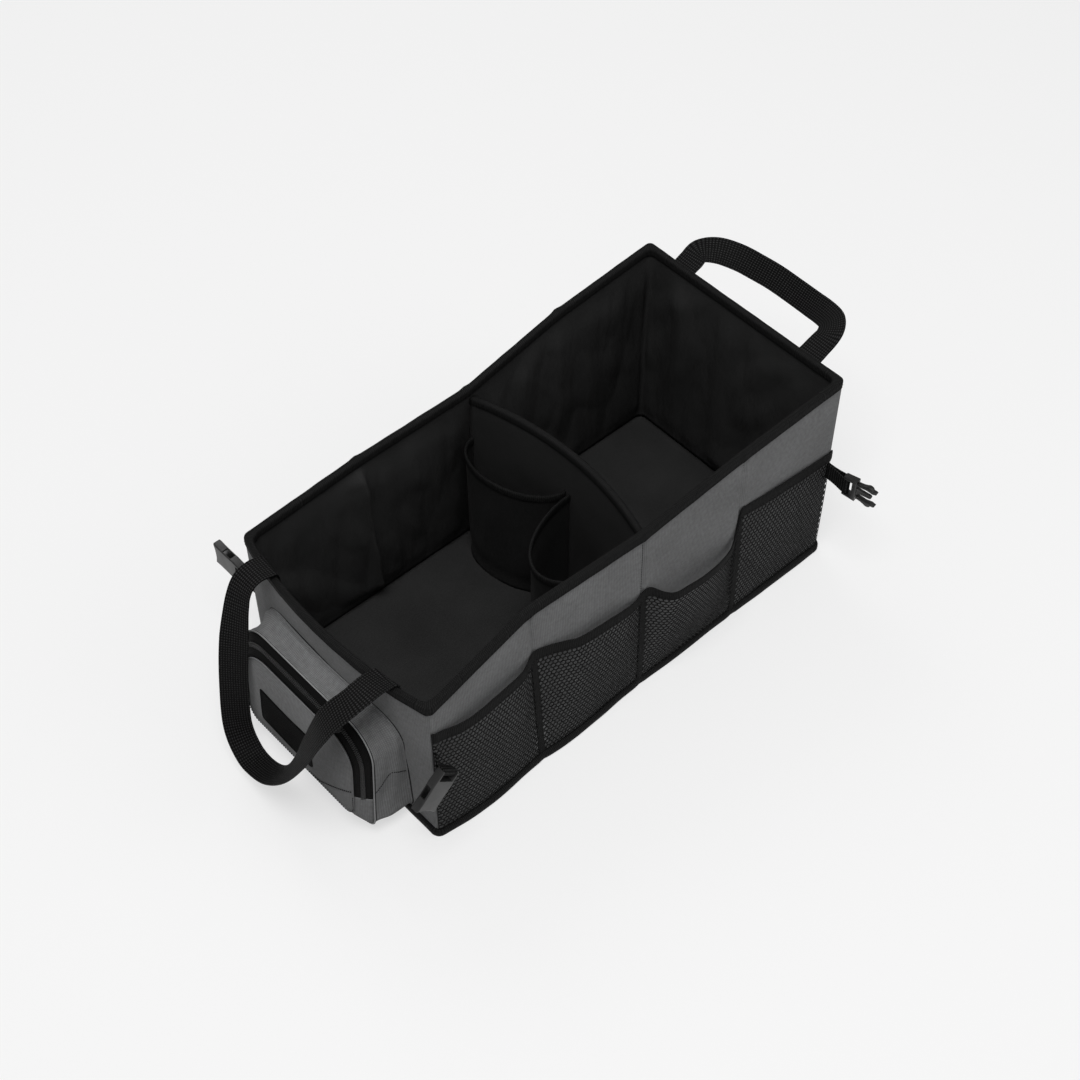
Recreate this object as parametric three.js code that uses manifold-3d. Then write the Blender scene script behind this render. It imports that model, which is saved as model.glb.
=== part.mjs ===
// Open-topped fabric caddy: four boarded walls with a sloping rim, a divider with two bottle pockets,
// four net pockets along one side, a zipped pocket on the front end, two webbing handles and four
// corner tabs with side-release buckle halves.
// Millimetres. +X runs from the low front end to the high rear end, +Y to the plain far side, +Z up.
// The origin is the centre of the underside.
import * as THREE from 'three';
import { mergeVertices } from 'three/addons/utils/BufferGeometryUtils.js';
import Module from 'manifold-3d';

const wasm = await Module();
wasm.setup();

// Overall size
const LENGTH = 530;
const WIDTH = 270;
const FRONT_HEIGHT = 208;
const REAR_HEIGHT = 257;

// Layers and fits
const CLEARANCE = 0.3;
const CLOTH = 1.0;
const BOARD = 2.4;
const LINING = 0.8;
const BASE_BOARD = 3.0;
const TAPE = 0.9;
const WEBBING = 1.6;

// Walls
const BOARDS_PER_SIDE = 4;
const FOLD_HALF_GAP = 4;
const BOARD_MARGIN = 5;
const NEAR_FOLD_BOW = 17;
const NEAR_REST_BOW = 4;
const FAR_BOW = 12;
const FRONT_BOW = 17;
const FRONT_SIDE_SHARE = 0.5;
const FRONT_SHOULDER_SHARE = 0.86;
const FRONT_SHOULDER = 0.3;
const BINDING_DROP = 10;
const BASE_BINDING_TOP = 9;
const BASE_BINDING_OUT = 3.2;
const BASE_SPLIT = 4;

// Divider and bottle pockets
const DIVIDER_X = 5;
const DIVIDER_BOW = 22;
const DIVIDER_DROP = 12.5;
const DIVIDER_STEPS = 8;
const BOTTLE_POCKET_TOP = 162;
const BOTTLE_CLOTH = 1.2;
const BOTTLE_BINDING_DROP = 9;
const FAR_BOTTLE = { place: 0.7515, share: 0.467, bulge: 40 };
const NEAR_BOTTLE = { place: 0.294, share: 0.402, bulge: 79 };
const BOTTLE_STEPS = 14;

// Net pockets
const NET = 0.9;
const NET_TOP = 158;
const NET_FOOT_STANDOFF = 1.2;
const NET_HEAD_STANDOFF = 13;
const NET_MARGIN = 5;
const NET_CORNER_MARGIN = 8;
const NET_COLUMNS = 5;
const NET_ROWS = 6;
const NET_STRAND = 2.4;
const NET_TAPE_DROP = 12;
const EDGE_SLACK = 1;
const TAPE_STEPS = 4;

// Zipped pocket
const POCKET_HALF_WIDTH = 100;
const POCKET_TOP = 154;
const POCKET_FOOT = 11;
const POCKET_TOP_RADIUS = 34;
const POCKET_FOOT_RADIUS = 14;
const POCKET_TOP_DEPTH = 49;
const POCKET_FOOT_DEPTH = 57;
const GUSSET_TAPER = 4;
const CHAMFER_DEPTH = 12;
const CHAMFER_INSET = 15;
const ZIP_END = 63;
const CHAIN_WIDTH = 5;
const CHAIN_HEIGHT = 1.6;
const LABEL_WIDTH = 80;
const LABEL_HEIGHT = 46;
const LABEL_CENTRE_Y = 14;
const LABEL_CENTRE_Z = 77;
const LABEL_RADIUS = 4;

// Zip slider and puller
const SLIDER_REST_Y = -40;
const SLIDER_LENGTH = 13;
const SLIDER_WIDTH = 10;
const SLIDER_CROWN = 2;
const BAIL_LENGTH = 8;
const BAIL_WIDTH = 2.4;
const BAIL_GAP = 2.6;
const BAIL_CROWN = 1.2;
const BAIL_POST = 1.7;
const BAIL_ROOT = 0.5;
const SLIDER_NOSE = 0.7;
const SLIDER_SWELL = 1.15;
const PULLER_LENGTH = 24;
const PULLER_WIDTH = 8;
const PULLER_THICKNESS = 1.5;
const PULLER_RIM = 1.6;

// Handles
const HANDLE_WIDTH = 25;
const HANDLE_ROOT_Y = 87;
const HANDLE_STEPS = 36;
const FRONT_STUB_REACH = 14;
const FRONT_STUB_RISE = 16.5;
const FRONT_HANDLE_REACH = 59;
const FRONT_HANDLE_DROP = 196;
const REAR_HANDLE_REACH = 62;
const REAR_HANDLE_RISE = 12;

// Each handle's route as shares of its reach, half-span and fall, and the band's turn in degrees
const FRONT_ROUTE = [
  [0, 1, 0, 0],
  [0.136, 1, 0.023, 0],
  [0.22, 0.968, 0.053, 5],
  [0.407, 0.933, 0.17, 20],
  [0.593, 0.878, 0.355, 42],
  [0.746, 0.851, 0.609, 48],
  [0.881, 0.784, 0.885, 60],
  [0.949, 0.568, 1, 80],
  [0.983, 0.295, 0.995, 90],
  [1, -0.016, 0.894, 85],
  [1, -0.349, 0.671, 60],
  [0.949, -0.622, 0.41, 38],
  [0.814, -0.813, 0.184, 26],
  [0.627, -0.893, 0.087, 15],
  [0.373, -0.985, 0.03, 5],
  [0.169, -1, 0.012, 0],
  [0, -1, 0, 0],
];
const REAR_ROUTE = [
  [0, 1, 0, 0],
  [0.161, 1, 0.333, 0],
  [0.355, 0.992, 0.817, 0],
  [0.548, 0.837, 1.017, 12],
  [0.742, 0.621, 0.658, 22],
  [0.871, 0.407, 0.2, 27],
  [0.952, 0.166, -0.075, 27],
  [1, -0.097, -0.367, 27],
  [0.984, -0.392, -0.333, 24],
  [0.887, -0.679, 0.175, 15],
  [0.726, -0.864, 0.742, 6],
  [0.452, -0.992, 0.942, 0],
  [0.161, -1, 0.333, 0],
  [0, -1, 0, 0],
];

// Buckles
const TAB_HEIGHT = 128;
const TAB_INSET = 3;
const TAB_WIDTH = 20;
const TAB_THICKNESS = 1.4;
const FEMALE_TAB = 17;
const MALE_TAB = 26;
const NEAR_FRONT_TWIST = 45;
const MALE_YAW = 10;
const BAR_RADIUS = 2;
const BUCKLE_WIDTH = 28;
const BUCKLE_THICKNESS = 9;
const BUCKLE_BEVEL = 1;
const BUCKLE_WAIST = 0.9;
const BAR_LIP = 0.4;
const CHEEK_WIDTH = 3.4;
const SLOT_LENGTH = 6.2;
const FEMALE_LENGTH = 44;
const SOCKET_WALL = 1.6;
const SOCKET_START = 13;
const SOCKET_RELIEF = 0.6;
const MOUTH_HOLLOW = 4;
const WAIST_PLACE = 0.65;
const WINDOW_START = 17;
const WINDOW_END = 30;
const MALE_SHOULDER = 13;
const PRONG_LENGTH = 17;
const PRONG_WIDTH = 6;
const PRONG_ROOT = 1.5;
const PRONG_TAPER = 0.7;
const ARM_LENGTH = 22;
const ARM_WIDTH = 3.4;
const ARM_THICKNESS = 5;
const ARM_NECK = 1.2;
const ARM_SWELL = 0.5;
const ARM_SHARES = { neck: 0.3, bend: 0.5, pad: 0.55, swell: 0.75, hook: 0.8 };

// Derived layer places, measured inwards from the outer face of a wall
const BOARD_DEPTH = CLOTH + CLEARANCE;
const LINING_DEPTH = BOARD_DEPTH + BOARD + CLEARANCE;
const WALL = LINING_DEPTH + LINING;
const WALL_FOOT = CLOTH + CLEARANCE;
const RIM_COVER = TAPE + CLEARANCE;
const FLOOR_LINING_Z = WALL_FOOT + BASE_BOARD + CLEARANCE;
const FLOOR_TOP = FLOOR_LINING_Z + LINING;

const lerp = THREE.MathUtils.lerp;
const radians = THREE.MathUtils.degToRad;

// Materials
function finish(color, roughness) {
  return new THREE.MeshStandardMaterial({ color, roughness, metalness: 0 });
}
const greyCloth = finish(0x636467, 0.9);
const blackCloth = finish(0x17181a, 0.8);
const liningCloth = finish(0x141416, 0.45);
const blackTape = finish(0x121214, 0.75);
const webbing = finish(0x121214, 0.8);
const stiffener = finish(0x3a3b3d, 0.7);
const netYarn = finish(0x1b1c1e, 0.85);
const greyPlastic = finish(0x3b3c3f, 0.5);
const blackPlastic = finish(0x18191b, 0.5);
const zipMetal = finish(0x1c1c1e, 0.4);

const caddy = new THREE.Group();

function addPiece(name, geometry, material, parent = caddy) {
  const mesh = new THREE.Mesh(geometry, material);
  mesh.name = name;
  parent.add(mesh);
}

// Closed solids from point grids

// A closed mesh from points and triangles, turned so that its faces point out
function closedSolid(points, triangles) {
  let volume = 0;
  for (const [a, b, c] of triangles) {
    volume += points[a].dot(new THREE.Vector3().crossVectors(points[b], points[c]));
  }
  const geometry = new THREE.BufferGeometry().setFromPoints(points);
  const ordered = volume < 0 ? triangles.map(([a, b, c]) => [a, c, b]) : triangles;
  geometry.setIndex(ordered.flat());
  return geometry;
}

// A sheet with thickness: pointAt(column, row, side) gives its outer face (side 0) and inner face (side 1)
function sheetSolid(columns, rows, pointAt) {
  const points = [];
  for (const side of [0, 1]) {
    for (let i = 0; i <= columns; i += 1) {
      for (let j = 0; j <= rows; j += 1) {
        points.push(pointAt(i, j, side));
      }
    }
  }
  const at = (i, j, side) => (side * (columns + 1) + i) * (rows + 1) + j;
  const triangles = [];
  const quad = (a, b, c, d) => triangles.push([a, b, c], [a, c, d]);
  for (let i = 0; i < columns; i += 1) {
    for (let j = 0; j < rows; j += 1) {
      quad(at(i, j, 0), at(i + 1, j, 0), at(i + 1, j + 1, 0), at(i, j + 1, 0));
      triangles.push([at(i, j, 1), at(i + 1, j + 1, 1), at(i + 1, j, 1)]);
      triangles.push([at(i, j, 1), at(i, j + 1, 1), at(i + 1, j + 1, 1)]);
    }
    quad(at(i + 1, 0, 0), at(i, 0, 0), at(i, 0, 1), at(i + 1, 0, 1));
    quad(at(i, rows, 0), at(i + 1, rows, 0), at(i + 1, rows, 1), at(i, rows, 1));
  }
  for (let j = 0; j < rows; j += 1) {
    quad(at(0, j, 0), at(0, j + 1, 0), at(0, j + 1, 1), at(0, j, 1));
    quad(at(columns, j + 1, 0), at(columns, j, 0), at(columns, j, 1), at(columns, j + 1, 1));
  }
  return closedSolid(points, triangles);
}

// A section carried along stations, each a list of the section's points in order.
// An open run is capped by the flat section given as [x, y] pairs.
function sweepSolid(stations, section = null) {
  const size = stations[0].length;
  const points = stations.flat();
  const triangles = [];
  const runs = section ? stations.length - 1 : stations.length;
  for (let s = 0; s < runs; s += 1) {
    const here = s * size;
    const next = ((s + 1) % stations.length) * size;
    for (let k = 0; k < size; k += 1) {
      const up = (k + 1) % size;
      triangles.push([here + k, next + k, next + up], [here + k, next + up, here + up]);
    }
  }
  if (section) {
    const outline = section.map(([x, y]) => new THREE.Vector2(x, y));
    const turn = Math.sign(THREE.ShapeUtils.area(outline));
    const last = (stations.length - 1) * size;
    for (const [a, b, c] of THREE.ShapeUtils.triangulateShape(outline, [])) {
      const same = Math.sign(THREE.ShapeUtils.area([outline[a], outline[b], outline[c]])) === turn;
      const [p, q] = same ? [b, c] : [c, b];
      triangles.push([a, p, q], [last + a, last + q, last + p]);
    }
  }
  return closedSolid(points, triangles);
}

// An inverted U over an edge of half-width reach: [offset, drop] pairs
function foldedTape(low, high, drop) {
  const out = CLEARANCE + TAPE;
  return [
    [low - out, drop],
    [low - out, 0],
    [high + out, 0],
    [high + out, drop],
    [high + CLEARANCE, drop],
    [high + CLEARANCE, TAPE],
    [low - CLEARANCE, TAPE],
    [low - CLEARANCE, drop],
  ];
}

// Straight-line interpolation through [place, value] knots
function along(knots, place) {
  let k = 1;
  while (k < knots.length - 1 && place > knots[k][0]) {
    k += 1;
  }
  const [from, to] = [knots[k - 1], knots[k]];
  return lerp(from[1], to[1], (place - from[0]) / (to[0] - from[0]));
}

// Solids joined and cut

function toSolid(geometry) {
  const bare = geometry.clone();
  bare.deleteAttribute('normal');
  bare.deleteAttribute('uv');
  const merged = mergeVertices(bare);
  const vertProperties = new Float32Array(merged.attributes.position.array);
  const triVerts = new Uint32Array(merged.index.array);
  return new wasm.Manifold(new wasm.Mesh({ numProp: 3, vertProperties, triVerts }));
}

function toGeometry(solid) {
  const { vertProperties, triVerts } = solid.getMesh();
  const geometry = new THREE.BufferGeometry();
  geometry.setAttribute('position', new THREE.BufferAttribute(new Float32Array(vertProperties), 3));
  geometry.setIndex(Array.from(triVerts));
  return geometry;
}

function block(x0, x1, y0, y1, z0, z1) {
  const box = new THREE.BoxGeometry(x1 - x0, y1 - y0, z1 - z0);
  box.translate((x0 + x1) / 2, (y0 + y1) / 2, (z0 + z1) / 2);
  return box;
}

const solidBlock = (...corners) => toSolid(block(...corners));

// Wall surfaces

const nearBow = [[0, 0], [0.25, NEAR_FOLD_BOW], [0.5, NEAR_REST_BOW], [0.75, NEAR_REST_BOW], [1, 0]];
const farBow = [[0, 0], [0.25, FAR_BOW / 5], [0.5, FAR_BOW], [0.75, 0], [1, 0]];
const POCKET_SIDE = 0.5 - POCKET_HALF_WIDTH / WIDTH;
const frontBow = [
  [0, 0],
  [POCKET_SIDE, FRONT_SIDE_SHARE * FRONT_BOW],
  [FRONT_SHOULDER, FRONT_SHOULDER_SHARE * FRONT_BOW],
  [0.5, FRONT_BOW],
  [1 - FRONT_SHOULDER, FRONT_SHOULDER_SHARE * FRONT_BOW],
  [1 - POCKET_SIDE, FRONT_SIDE_SHARE * FRONT_BOW],
  [1, 0],
];
const rearBow = [[0, 0], [1, 0]];

const sideRim = (u) => lerp(FRONT_HEIGHT, REAR_HEIGHT, u);

// Walls stand straight up to the boards' foot, then lean evenly to their full bow at the rim
const BOW_FOOT = WALL_FOOT + BOARD_MARGIN;
const lean = (z, rim) => Math.max(0, (z - BOW_FOOT) / (rim - BOW_FOOT));

// A long wall: u runs from the front end to the rear end, side is -1 near and +1 far
function longWall(side, bow) {
  return {
    rim: sideRim,
    point(u, z, depth, trim = 0) {
      const half = LENGTH / 2 - depth - trim;
      const inward = along(bow, u) * lean(z, sideRim(u));
      return new THREE.Vector3(lerp(-half, half, u), side * (WIDTH / 2 - depth - inward), z);
    },
  };
}

// An end wall: v runs from the near side to the far side, side is -1 front and +1 rear
function endWall(side, height, bow) {
  return {
    rim: () => height,
    point(v, z, depth, trim = 0) {
      const half = WIDTH / 2 - depth - trim;
      const outward = along(bow, v) * lean(z, height);
      return new THREE.Vector3(side * (LENGTH / 2 - depth + outward), lerp(-half, half, v), z);
    },
  };
}

const nearWall = longWall(-1, nearBow);
const farWall = longWall(1, farBow);
const frontWall = endWall(-1, FRONT_HEIGHT, frontBow);
const rearWall = endWall(1, REAR_HEIGHT, rearBow);

// Places along a long wall: each fold line, the board edges beside it and the board's middle
const sidePlaces = [];
const foldShare = FOLD_HALF_GAP / LENGTH;
for (let k = 0; k < BOARDS_PER_SIDE; k += 1) {
  const [from, to] = [k / BOARDS_PER_SIDE, (k + 1) / BOARDS_PER_SIDE];
  sidePlaces.push(from, from + foldShare, (from + to) / 2, to - foldShare);
}
sidePlaces.push(1);
const PLACES_PER_BOARD = 4;

const cornerShare = FOLD_HALF_GAP / WIDTH;
const halfEndPlaces = [0, cornerShare, POCKET_SIDE, FRONT_SHOULDER];
const endPlaces = [...halfEndPlaces, 0.5, ...halfEndPlaces.toReversed().map((v) => 1 - v)];

// Going round the rim: near wall rearwards, rear wall, far wall forwards, front wall
nearWall.places = sidePlaces;
rearWall.places = endPlaces;
farWall.places = sidePlaces.toReversed();
frontWall.places = endPlaces.toReversed();

// Row heights up a wall: foot, board foot, quarters, board head, head
const POCKET_ROW = (POCKET_TOP - WALL_FOOT) / (FRONT_HEIGHT - RIM_COVER - WALL_FOOT);
function rowHeights(wall, place) {
  const head = wall.rim(place) - RIM_COVER;
  const quarters = [0.25, 0.5, POCKET_ROW].map((share) => lerp(WALL_FOOT, head, share));
  return [WALL_FOOT, WALL_FOOT + BOARD_MARGIN, ...quarters, head - BOARD_MARGIN, head];
}
const ROWS = 6;

// One layer of a wall between two of its places and two of its rows
function wallLayer(wall, depth, thickness, first, last, firstRow, lastRow, trim) {
  return sheetSolid(last - first, lastRow - firstRow, (i, j, side) => {
    const place = wall.places[first + i];
    const z = rowHeights(wall, place)[firstRow + j];
    return wall.point(place, z, depth + side * thickness, trim);
  });
}

// Stations all the way round, each corner once
const ring = [
  ...nearWall.places.map((place) => [nearWall, place]),
  ...rearWall.places.slice(1, -1).map((place) => [rearWall, place]),
  ...farWall.places.map((place) => [farWall, place]),
  ...frontWall.places.slice(1, -1).map((place) => [frontWall, place]),
];

// Walls: outer cloth, boards and lining

const cornerTrim = CLEARANCE;
const lastSide = sidePlaces.length - 1;
const lastEnd = endPlaces.length - 1;

function addWalls() {
  addPiece('near_side_cloth', wallLayer(nearWall, 0, CLOTH, 0, lastSide, 0, ROWS, cornerTrim), greyCloth);
  addPiece('far_side_cloth', wallLayer(farWall, 0, CLOTH, 0, lastSide, 0, ROWS, cornerTrim), greyCloth);
  addPiece('front_end_cloth', wallLayer(frontWall, 0, CLOTH, 0, lastEnd, 0, ROWS, cornerTrim), greyCloth);
  addPiece('rear_end_cloth', wallLayer(rearWall, 0, CLOTH, 0, lastEnd, 0, ROWS, cornerTrim), greyCloth);
  for (let k = 0; k < BOARDS_PER_SIDE; k += 1) {
    const first = PLACES_PER_BOARD * k + 1;
    const last = PLACES_PER_BOARD * (k + 1) - 1;
    const board = (wall) => wallLayer(wall, BOARD_DEPTH, BOARD, first, last, 1, ROWS - 1, cornerTrim);
    addPiece(`near_board_${k + 1}`, board(nearWall), stiffener);
    addPiece(`far_board_${BOARDS_PER_SIDE - k}`, board(farWall), stiffener);
  }
  const endBoard = (wall) => wallLayer(wall, BOARD_DEPTH, BOARD, 1, lastEnd - 1, 1, ROWS - 1, cornerTrim);
  addPiece('front_end_board', endBoard(frontWall), stiffener);
  addPiece('rear_end_board', endBoard(rearWall), stiffener);
  const liningStations = ring.map(([wall, place]) => {
    const heights = rowHeights(wall, place);
    const outer = heights.map((z) => wall.point(place, z, LINING_DEPTH));
    const inner = heights.toReversed().map((z) => wall.point(place, z, WALL));
    return [...outer, ...inner];
  });
  addPiece('wall_lining', sweepSolid(liningStations), liningCloth);
}

// Base: underside cloth, two floor boards, floor lining

function addBase() {
  const [outX, outY] = [LENGTH / 2, WIDTH / 2];
  const [inX, inY] = [outX - WALL - CLEARANCE, outY - WALL - CLEARANCE];
  addPiece('base_cloth', block(-outX, outX, -outY, outY, 0, CLOTH), blackCloth);
  const [low, high] = [WALL_FOOT, WALL_FOOT + BASE_BOARD];
  addPiece('base_board_front', block(-inX, -BASE_SPLIT, -inY, inY, low, high), stiffener);
  addPiece('base_board_rear', block(BASE_SPLIT, inX, -inY, inY, low, high), stiffener);
  addPiece('floor_lining', block(-inX, inX, -inY, inY, FLOOR_LINING_Z, FLOOR_TOP), liningCloth);
}

// Tape folded over the rim, and the bound seam round the foot

function addEdgeBindings() {
  const rimSection = foldedTape(0, WALL, BINDING_DROP);
  const rimStations = ring.map(([wall, place]) => (
    rimSection.map(([depth, drop]) => wall.point(place, wall.rim(place) - drop, depth))
  ));
  addPiece('rim_binding', sweepSolid(rimStations), blackTape);
  const [near, far] = [-CLEARANCE, -CLEARANCE - BASE_BINDING_OUT];
  const round = BASE_BINDING_OUT / 2;
  const footSection = [
    [near, CLEARANCE],
    [far + round, CLEARANCE],
    [far, CLEARANCE + round],
    [far, BASE_BINDING_TOP - round],
    [far + round, BASE_BINDING_TOP],
    [near, BASE_BINDING_TOP],
  ];
  const footStations = ring.map(([wall, place]) => (
    footSection.map(([depth, z]) => wall.point(place, z, depth))
  ));
  addPiece('base_binding', sweepSolid(footStations), blackTape);
}

// Divider across the middle, bowed towards the rear

const COVER_REACH = BOARD / 2 + CLEARANCE + LINING;
const DIVIDER_TOP = sideRim(0.5) - DIVIDER_DROP;
const DIVIDER_FOOT = FLOOR_TOP + CLEARANCE;
const DIVIDER_PLACE = 0.5 + DIVIDER_X / LENGTH;

// The divider's mid plane at a height: v runs from the near lining to the far lining
function dividerPoint(v, z, offset) {
  const near = nearWall.point(DIVIDER_PLACE, z, WALL + CLEARANCE).y;
  const far = farWall.point(DIVIDER_PLACE, z, WALL + CLEARANCE).y;
  return new THREE.Vector3(DIVIDER_X + dividerBow(v) + offset, lerp(near, far, v), z);
}

// Bow of the divider, straight between its steps
function dividerBow(v) {
  const step = Math.min(Math.floor(v * DIVIDER_STEPS), DIVIDER_STEPS - 1);
  const bowAt = (k) => DIVIDER_BOW * (1 - (2 * (k / DIVIDER_STEPS) - 1) ** 2);
  return lerp(bowAt(step), bowAt(step + 1), v * DIVIDER_STEPS - step);
}

function addDivider() {
  const coverTop = DIVIDER_TOP - RIM_COVER;
  const boardTop = coverTop - LINING - CLEARANCE;
  const board = sheetSolid(DIVIDER_STEPS, 1, (i, j, side) => (
    dividerPoint(i / DIVIDER_STEPS, j ? boardTop : DIVIDER_FOOT, (side - 0.5) * BOARD)
  ));
  addPiece('divider_board', board, stiffener);
  const inside = BOARD / 2 + CLEARANCE;
  const coverSection = [
    [-COVER_REACH, DIVIDER_FOOT],
    [-COVER_REACH, coverTop],
    [COVER_REACH, coverTop],
    [COVER_REACH, DIVIDER_FOOT],
    [inside, DIVIDER_FOOT],
    [inside, coverTop - LINING],
    [-inside, coverTop - LINING],
    [-inside, DIVIDER_FOOT],
  ];
  const tapeSection = foldedTape(-COVER_REACH, COVER_REACH, BINDING_DROP);
  const tapeHeights = tapeSection.map(([offset, drop]) => [offset, DIVIDER_TOP - drop]);
  for (const [name, section, material] of [
    ['divider_cover', coverSection, liningCloth],
    ['divider_binding', tapeHeights, blackTape],
  ]) {
    const stations = [];
    for (let k = 0; k <= DIVIDER_STEPS; k += 1) {
      stations.push(section.map(([offset, z]) => dividerPoint(k / DIVIDER_STEPS, z, offset)));
    }
    addPiece(name, sweepSolid(stations, section), material);
  }
}

// Bottle pockets: half-oval sleeves sewn to the divider's front face, each at its place across the
// divider and with its share of the width

function addBottlePocket(name, pocket) {
  const reach = { foot: DIVIDER_FOOT, head: BOTTLE_POCKET_TOP };
  const nearEnd = dividerPoint(0, reach.head, 0).y;
  const farEnd = dividerPoint(1, reach.head, 0).y;
  const face = (y) => {
    const v = THREE.MathUtils.clamp((y - nearEnd) / (farEnd - nearEnd), 0, 1);
    return DIVIDER_X + dividerBow(v) - COVER_REACH - CLEARANCE;
  };
  const centre = lerp(nearEnd, farEnd, pocket.place);
  const halfMouth = (pocket.share * (farEnd - nearEnd)) / 2;
  const point = (step, grow, z) => {
    const turn = (step / BOTTLE_STEPS) * Math.PI;
    const y = centre - (halfMouth + grow) * Math.cos(turn);
    return new THREE.Vector3(face(y) - (pocket.bulge + grow) * Math.sin(turn), y, z);
  };
  const sleeve = sheetSolid(BOTTLE_STEPS, 1, (i, j, side) => (
    point(i, -side * BOTTLE_CLOTH, j ? reach.head - RIM_COVER : reach.foot)
  ));
  addPiece(name, sleeve, blackCloth);
  const section = foldedTape(-BOTTLE_CLOTH, 0, BOTTLE_BINDING_DROP);
  const stations = [];
  for (let step = 0; step <= BOTTLE_STEPS; step += 1) {
    stations.push(section.map(([grow, drop]) => point(step, grow, reach.head - drop)));
  }
  addPiece(`${name}_binding`, sweepSolid(stations, section), blackTape);
}

// Net pockets: open nets that lean out from the near wall, a taped mouth and sewn seams at the folds

const NET_FOOT = BASE_BINDING_TOP + CLEARANCE;
const netCornerShare = NET_CORNER_MARGIN / LENGTH;
const mouthStandoff = [
  [netCornerShare, NET_FOOT_STANDOFF],
  [0.25, NET_HEAD_STANDOFF],
  [0.75, NET_HEAD_STANDOFF],
  [1 - netCornerShare, NET_FOOT_STANDOFF],
];

// A point of the nets' back face plus lift outwards
function netPoint(u, z, lift) {
  const rise = (z - NET_FOOT) / (NET_TOP - NET_FOOT);
  const standoff = lerp(NET_FOOT_STANDOFF, along(mouthStandoff, u), rise);
  return nearWall.point(u, z, -standoff - CLEARANCE - lift);
}

// A plate with gaps, from flat polygons that share edges: place(x, y, lift) puts each corner in space
function latticeSolid(polygons, thickness, place) {
  const corners = new Map();
  const flat = [];
  const cornerAt = ([x, y]) => {
    const key = `${x.toFixed(3)} ${y.toFixed(3)}`;
    if (!corners.has(key)) {
      corners.set(key, flat.length);
      flat.push([x, y]);
    }
    return corners.get(key);
  };
  const faces = polygons.map((polygon) => polygon.map(cornerAt));
  const count = flat.length;
  const edges = new Set();
  const triangles = [];
  for (const face of faces) {
    face.forEach((corner, k) => edges.add(`${corner} ${face[(k + 1) % face.length]}`));
    for (let k = 1; k < face.length - 1; k += 1) {
      triangles.push([face[0], face[k], face[k + 1]]);
      triangles.push([count + face[0], count + face[k + 1], count + face[k]]);
    }
  }
  for (const edge of edges) {
    const [a, b] = edge.split(' ').map(Number);
    if (!edges.has(`${b} ${a}`)) {
      triangles.push([b, a, count + a], [b, count + a, count + b]);
    }
  }
  const points = [thickness, 0].flatMap((lift) => flat.map(([x, y]) => place(x, y, lift)));
  return closedSolid(points, triangles);
}

// The strands of a net of diamond gaps, width by height, as flat polygons
function netStrands(width, height) {
  const [halfX, halfY] = [width / NET_COLUMNS / 2, height / NET_ROWS / 2];
  const shrink = 1 - (NET_STRAND / 2) * (Math.hypot(halfX, halfY) / (halfX * halfY));
  const polygons = [];
  for (let column = 0; column <= 2 * NET_COLUMNS; column += 1) {
    for (let row = column % 2; row <= 2 * NET_ROWS; row += 2) {
      const [x, y] = [column * halfX, row * halfY];
      const diamond = [[-halfX, 0], [0, -halfY], [halfX, 0], [0, halfY]];
      const within = (place, size) => place > -EDGE_SLACK && place < size + EDGE_SLACK;
      const inside = ([dx, dy]) => within(x + dx, width) && within(y + dy, height);
      if (diamond.every(inside)) {
        diamond.forEach(([ax, ay], k) => {
          const [bx, by] = diamond[(k + 1) % diamond.length];
          polygons.push([
            [x + ax, y + ay],
            [x + bx, y + by],
            [x + bx * shrink, y + by * shrink],
            [x + ax * shrink, y + ay * shrink],
          ]);
        });
      } else {
        const clipped = diamond.map((corner) => (inside(corner) ? corner : [0, 0]));
        const border = clipped.filter((corner, k) => {
          const after = clipped[(k + 1) % clipped.length];
          return corner[0] !== after[0] || corner[1] !== after[1];
        });
        polygons.push(border.map(([dx, dy]) => [x + dx, y + dy]));
      }
    }
  }
  return polygons;
}

function addNetPockets() {
  const seamShare = (NET_MARGIN + CLEARANCE) / LENGTH;
  const netHead = NET_TOP - RIM_COVER;
  const height = netHead - NET_FOOT;
  for (let k = 0; k < BOARDS_PER_SIDE; k += 1) {
    const from = Math.max(k / BOARDS_PER_SIDE + seamShare, netCornerShare);
    const to = Math.min((k + 1) / BOARDS_PER_SIDE - seamShare, 1 - netCornerShare);
    const width = (to - from) * LENGTH;
    const net = latticeSolid(netStrands(width, height), NET, (x, y, lift) => (
      netPoint(lerp(from, to, x / width), NET_FOOT + y, lift)
    ));
    addPiece(`mesh_net_${k + 1}`, net, netYarn);
  }
  const tapeSection = foldedTape(0, NET, NET_TAPE_DROP);
  const tapePlaces = [];
  for (let k = 0; k <= BOARDS_PER_SIDE * TAPE_STEPS; k += 1) {
    const u = k / (BOARDS_PER_SIDE * TAPE_STEPS);
    tapePlaces.push(THREE.MathUtils.clamp(u, netCornerShare, 1 - netCornerShare));
  }
  const tapeStations = tapePlaces.map((u) => (
    tapeSection.map(([lift, drop]) => netPoint(u, NET_TOP - drop, lift))
  ));
  addPiece('mesh_top_tape', sweepSolid(tapeStations, tapeSection), blackTape);
  const seamHalf = NET_MARGIN / LENGTH;
  const seamHead = NET_TOP - NET_TAPE_DROP - CLEARANCE;
  const seamRows = 4;
  for (let k = 1; k < BOARDS_PER_SIDE; k += 1) {
    const seam = sheetSolid(2, seamRows, (i, j, side) => {
      const u = k / BOARDS_PER_SIDE + (i - 1) * seamHalf;
      const z = lerp(NET_FOOT, seamHead, j / seamRows);
      return side ? nearWall.point(u, z, -CLEARANCE) : netPoint(u, z, NET);
    });
    addPiece(`mesh_seam_${k}`, seam, blackTape);
  }
}

// Zipped pocket: gusset from the front wall, sloping zip band, front panel, label

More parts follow.
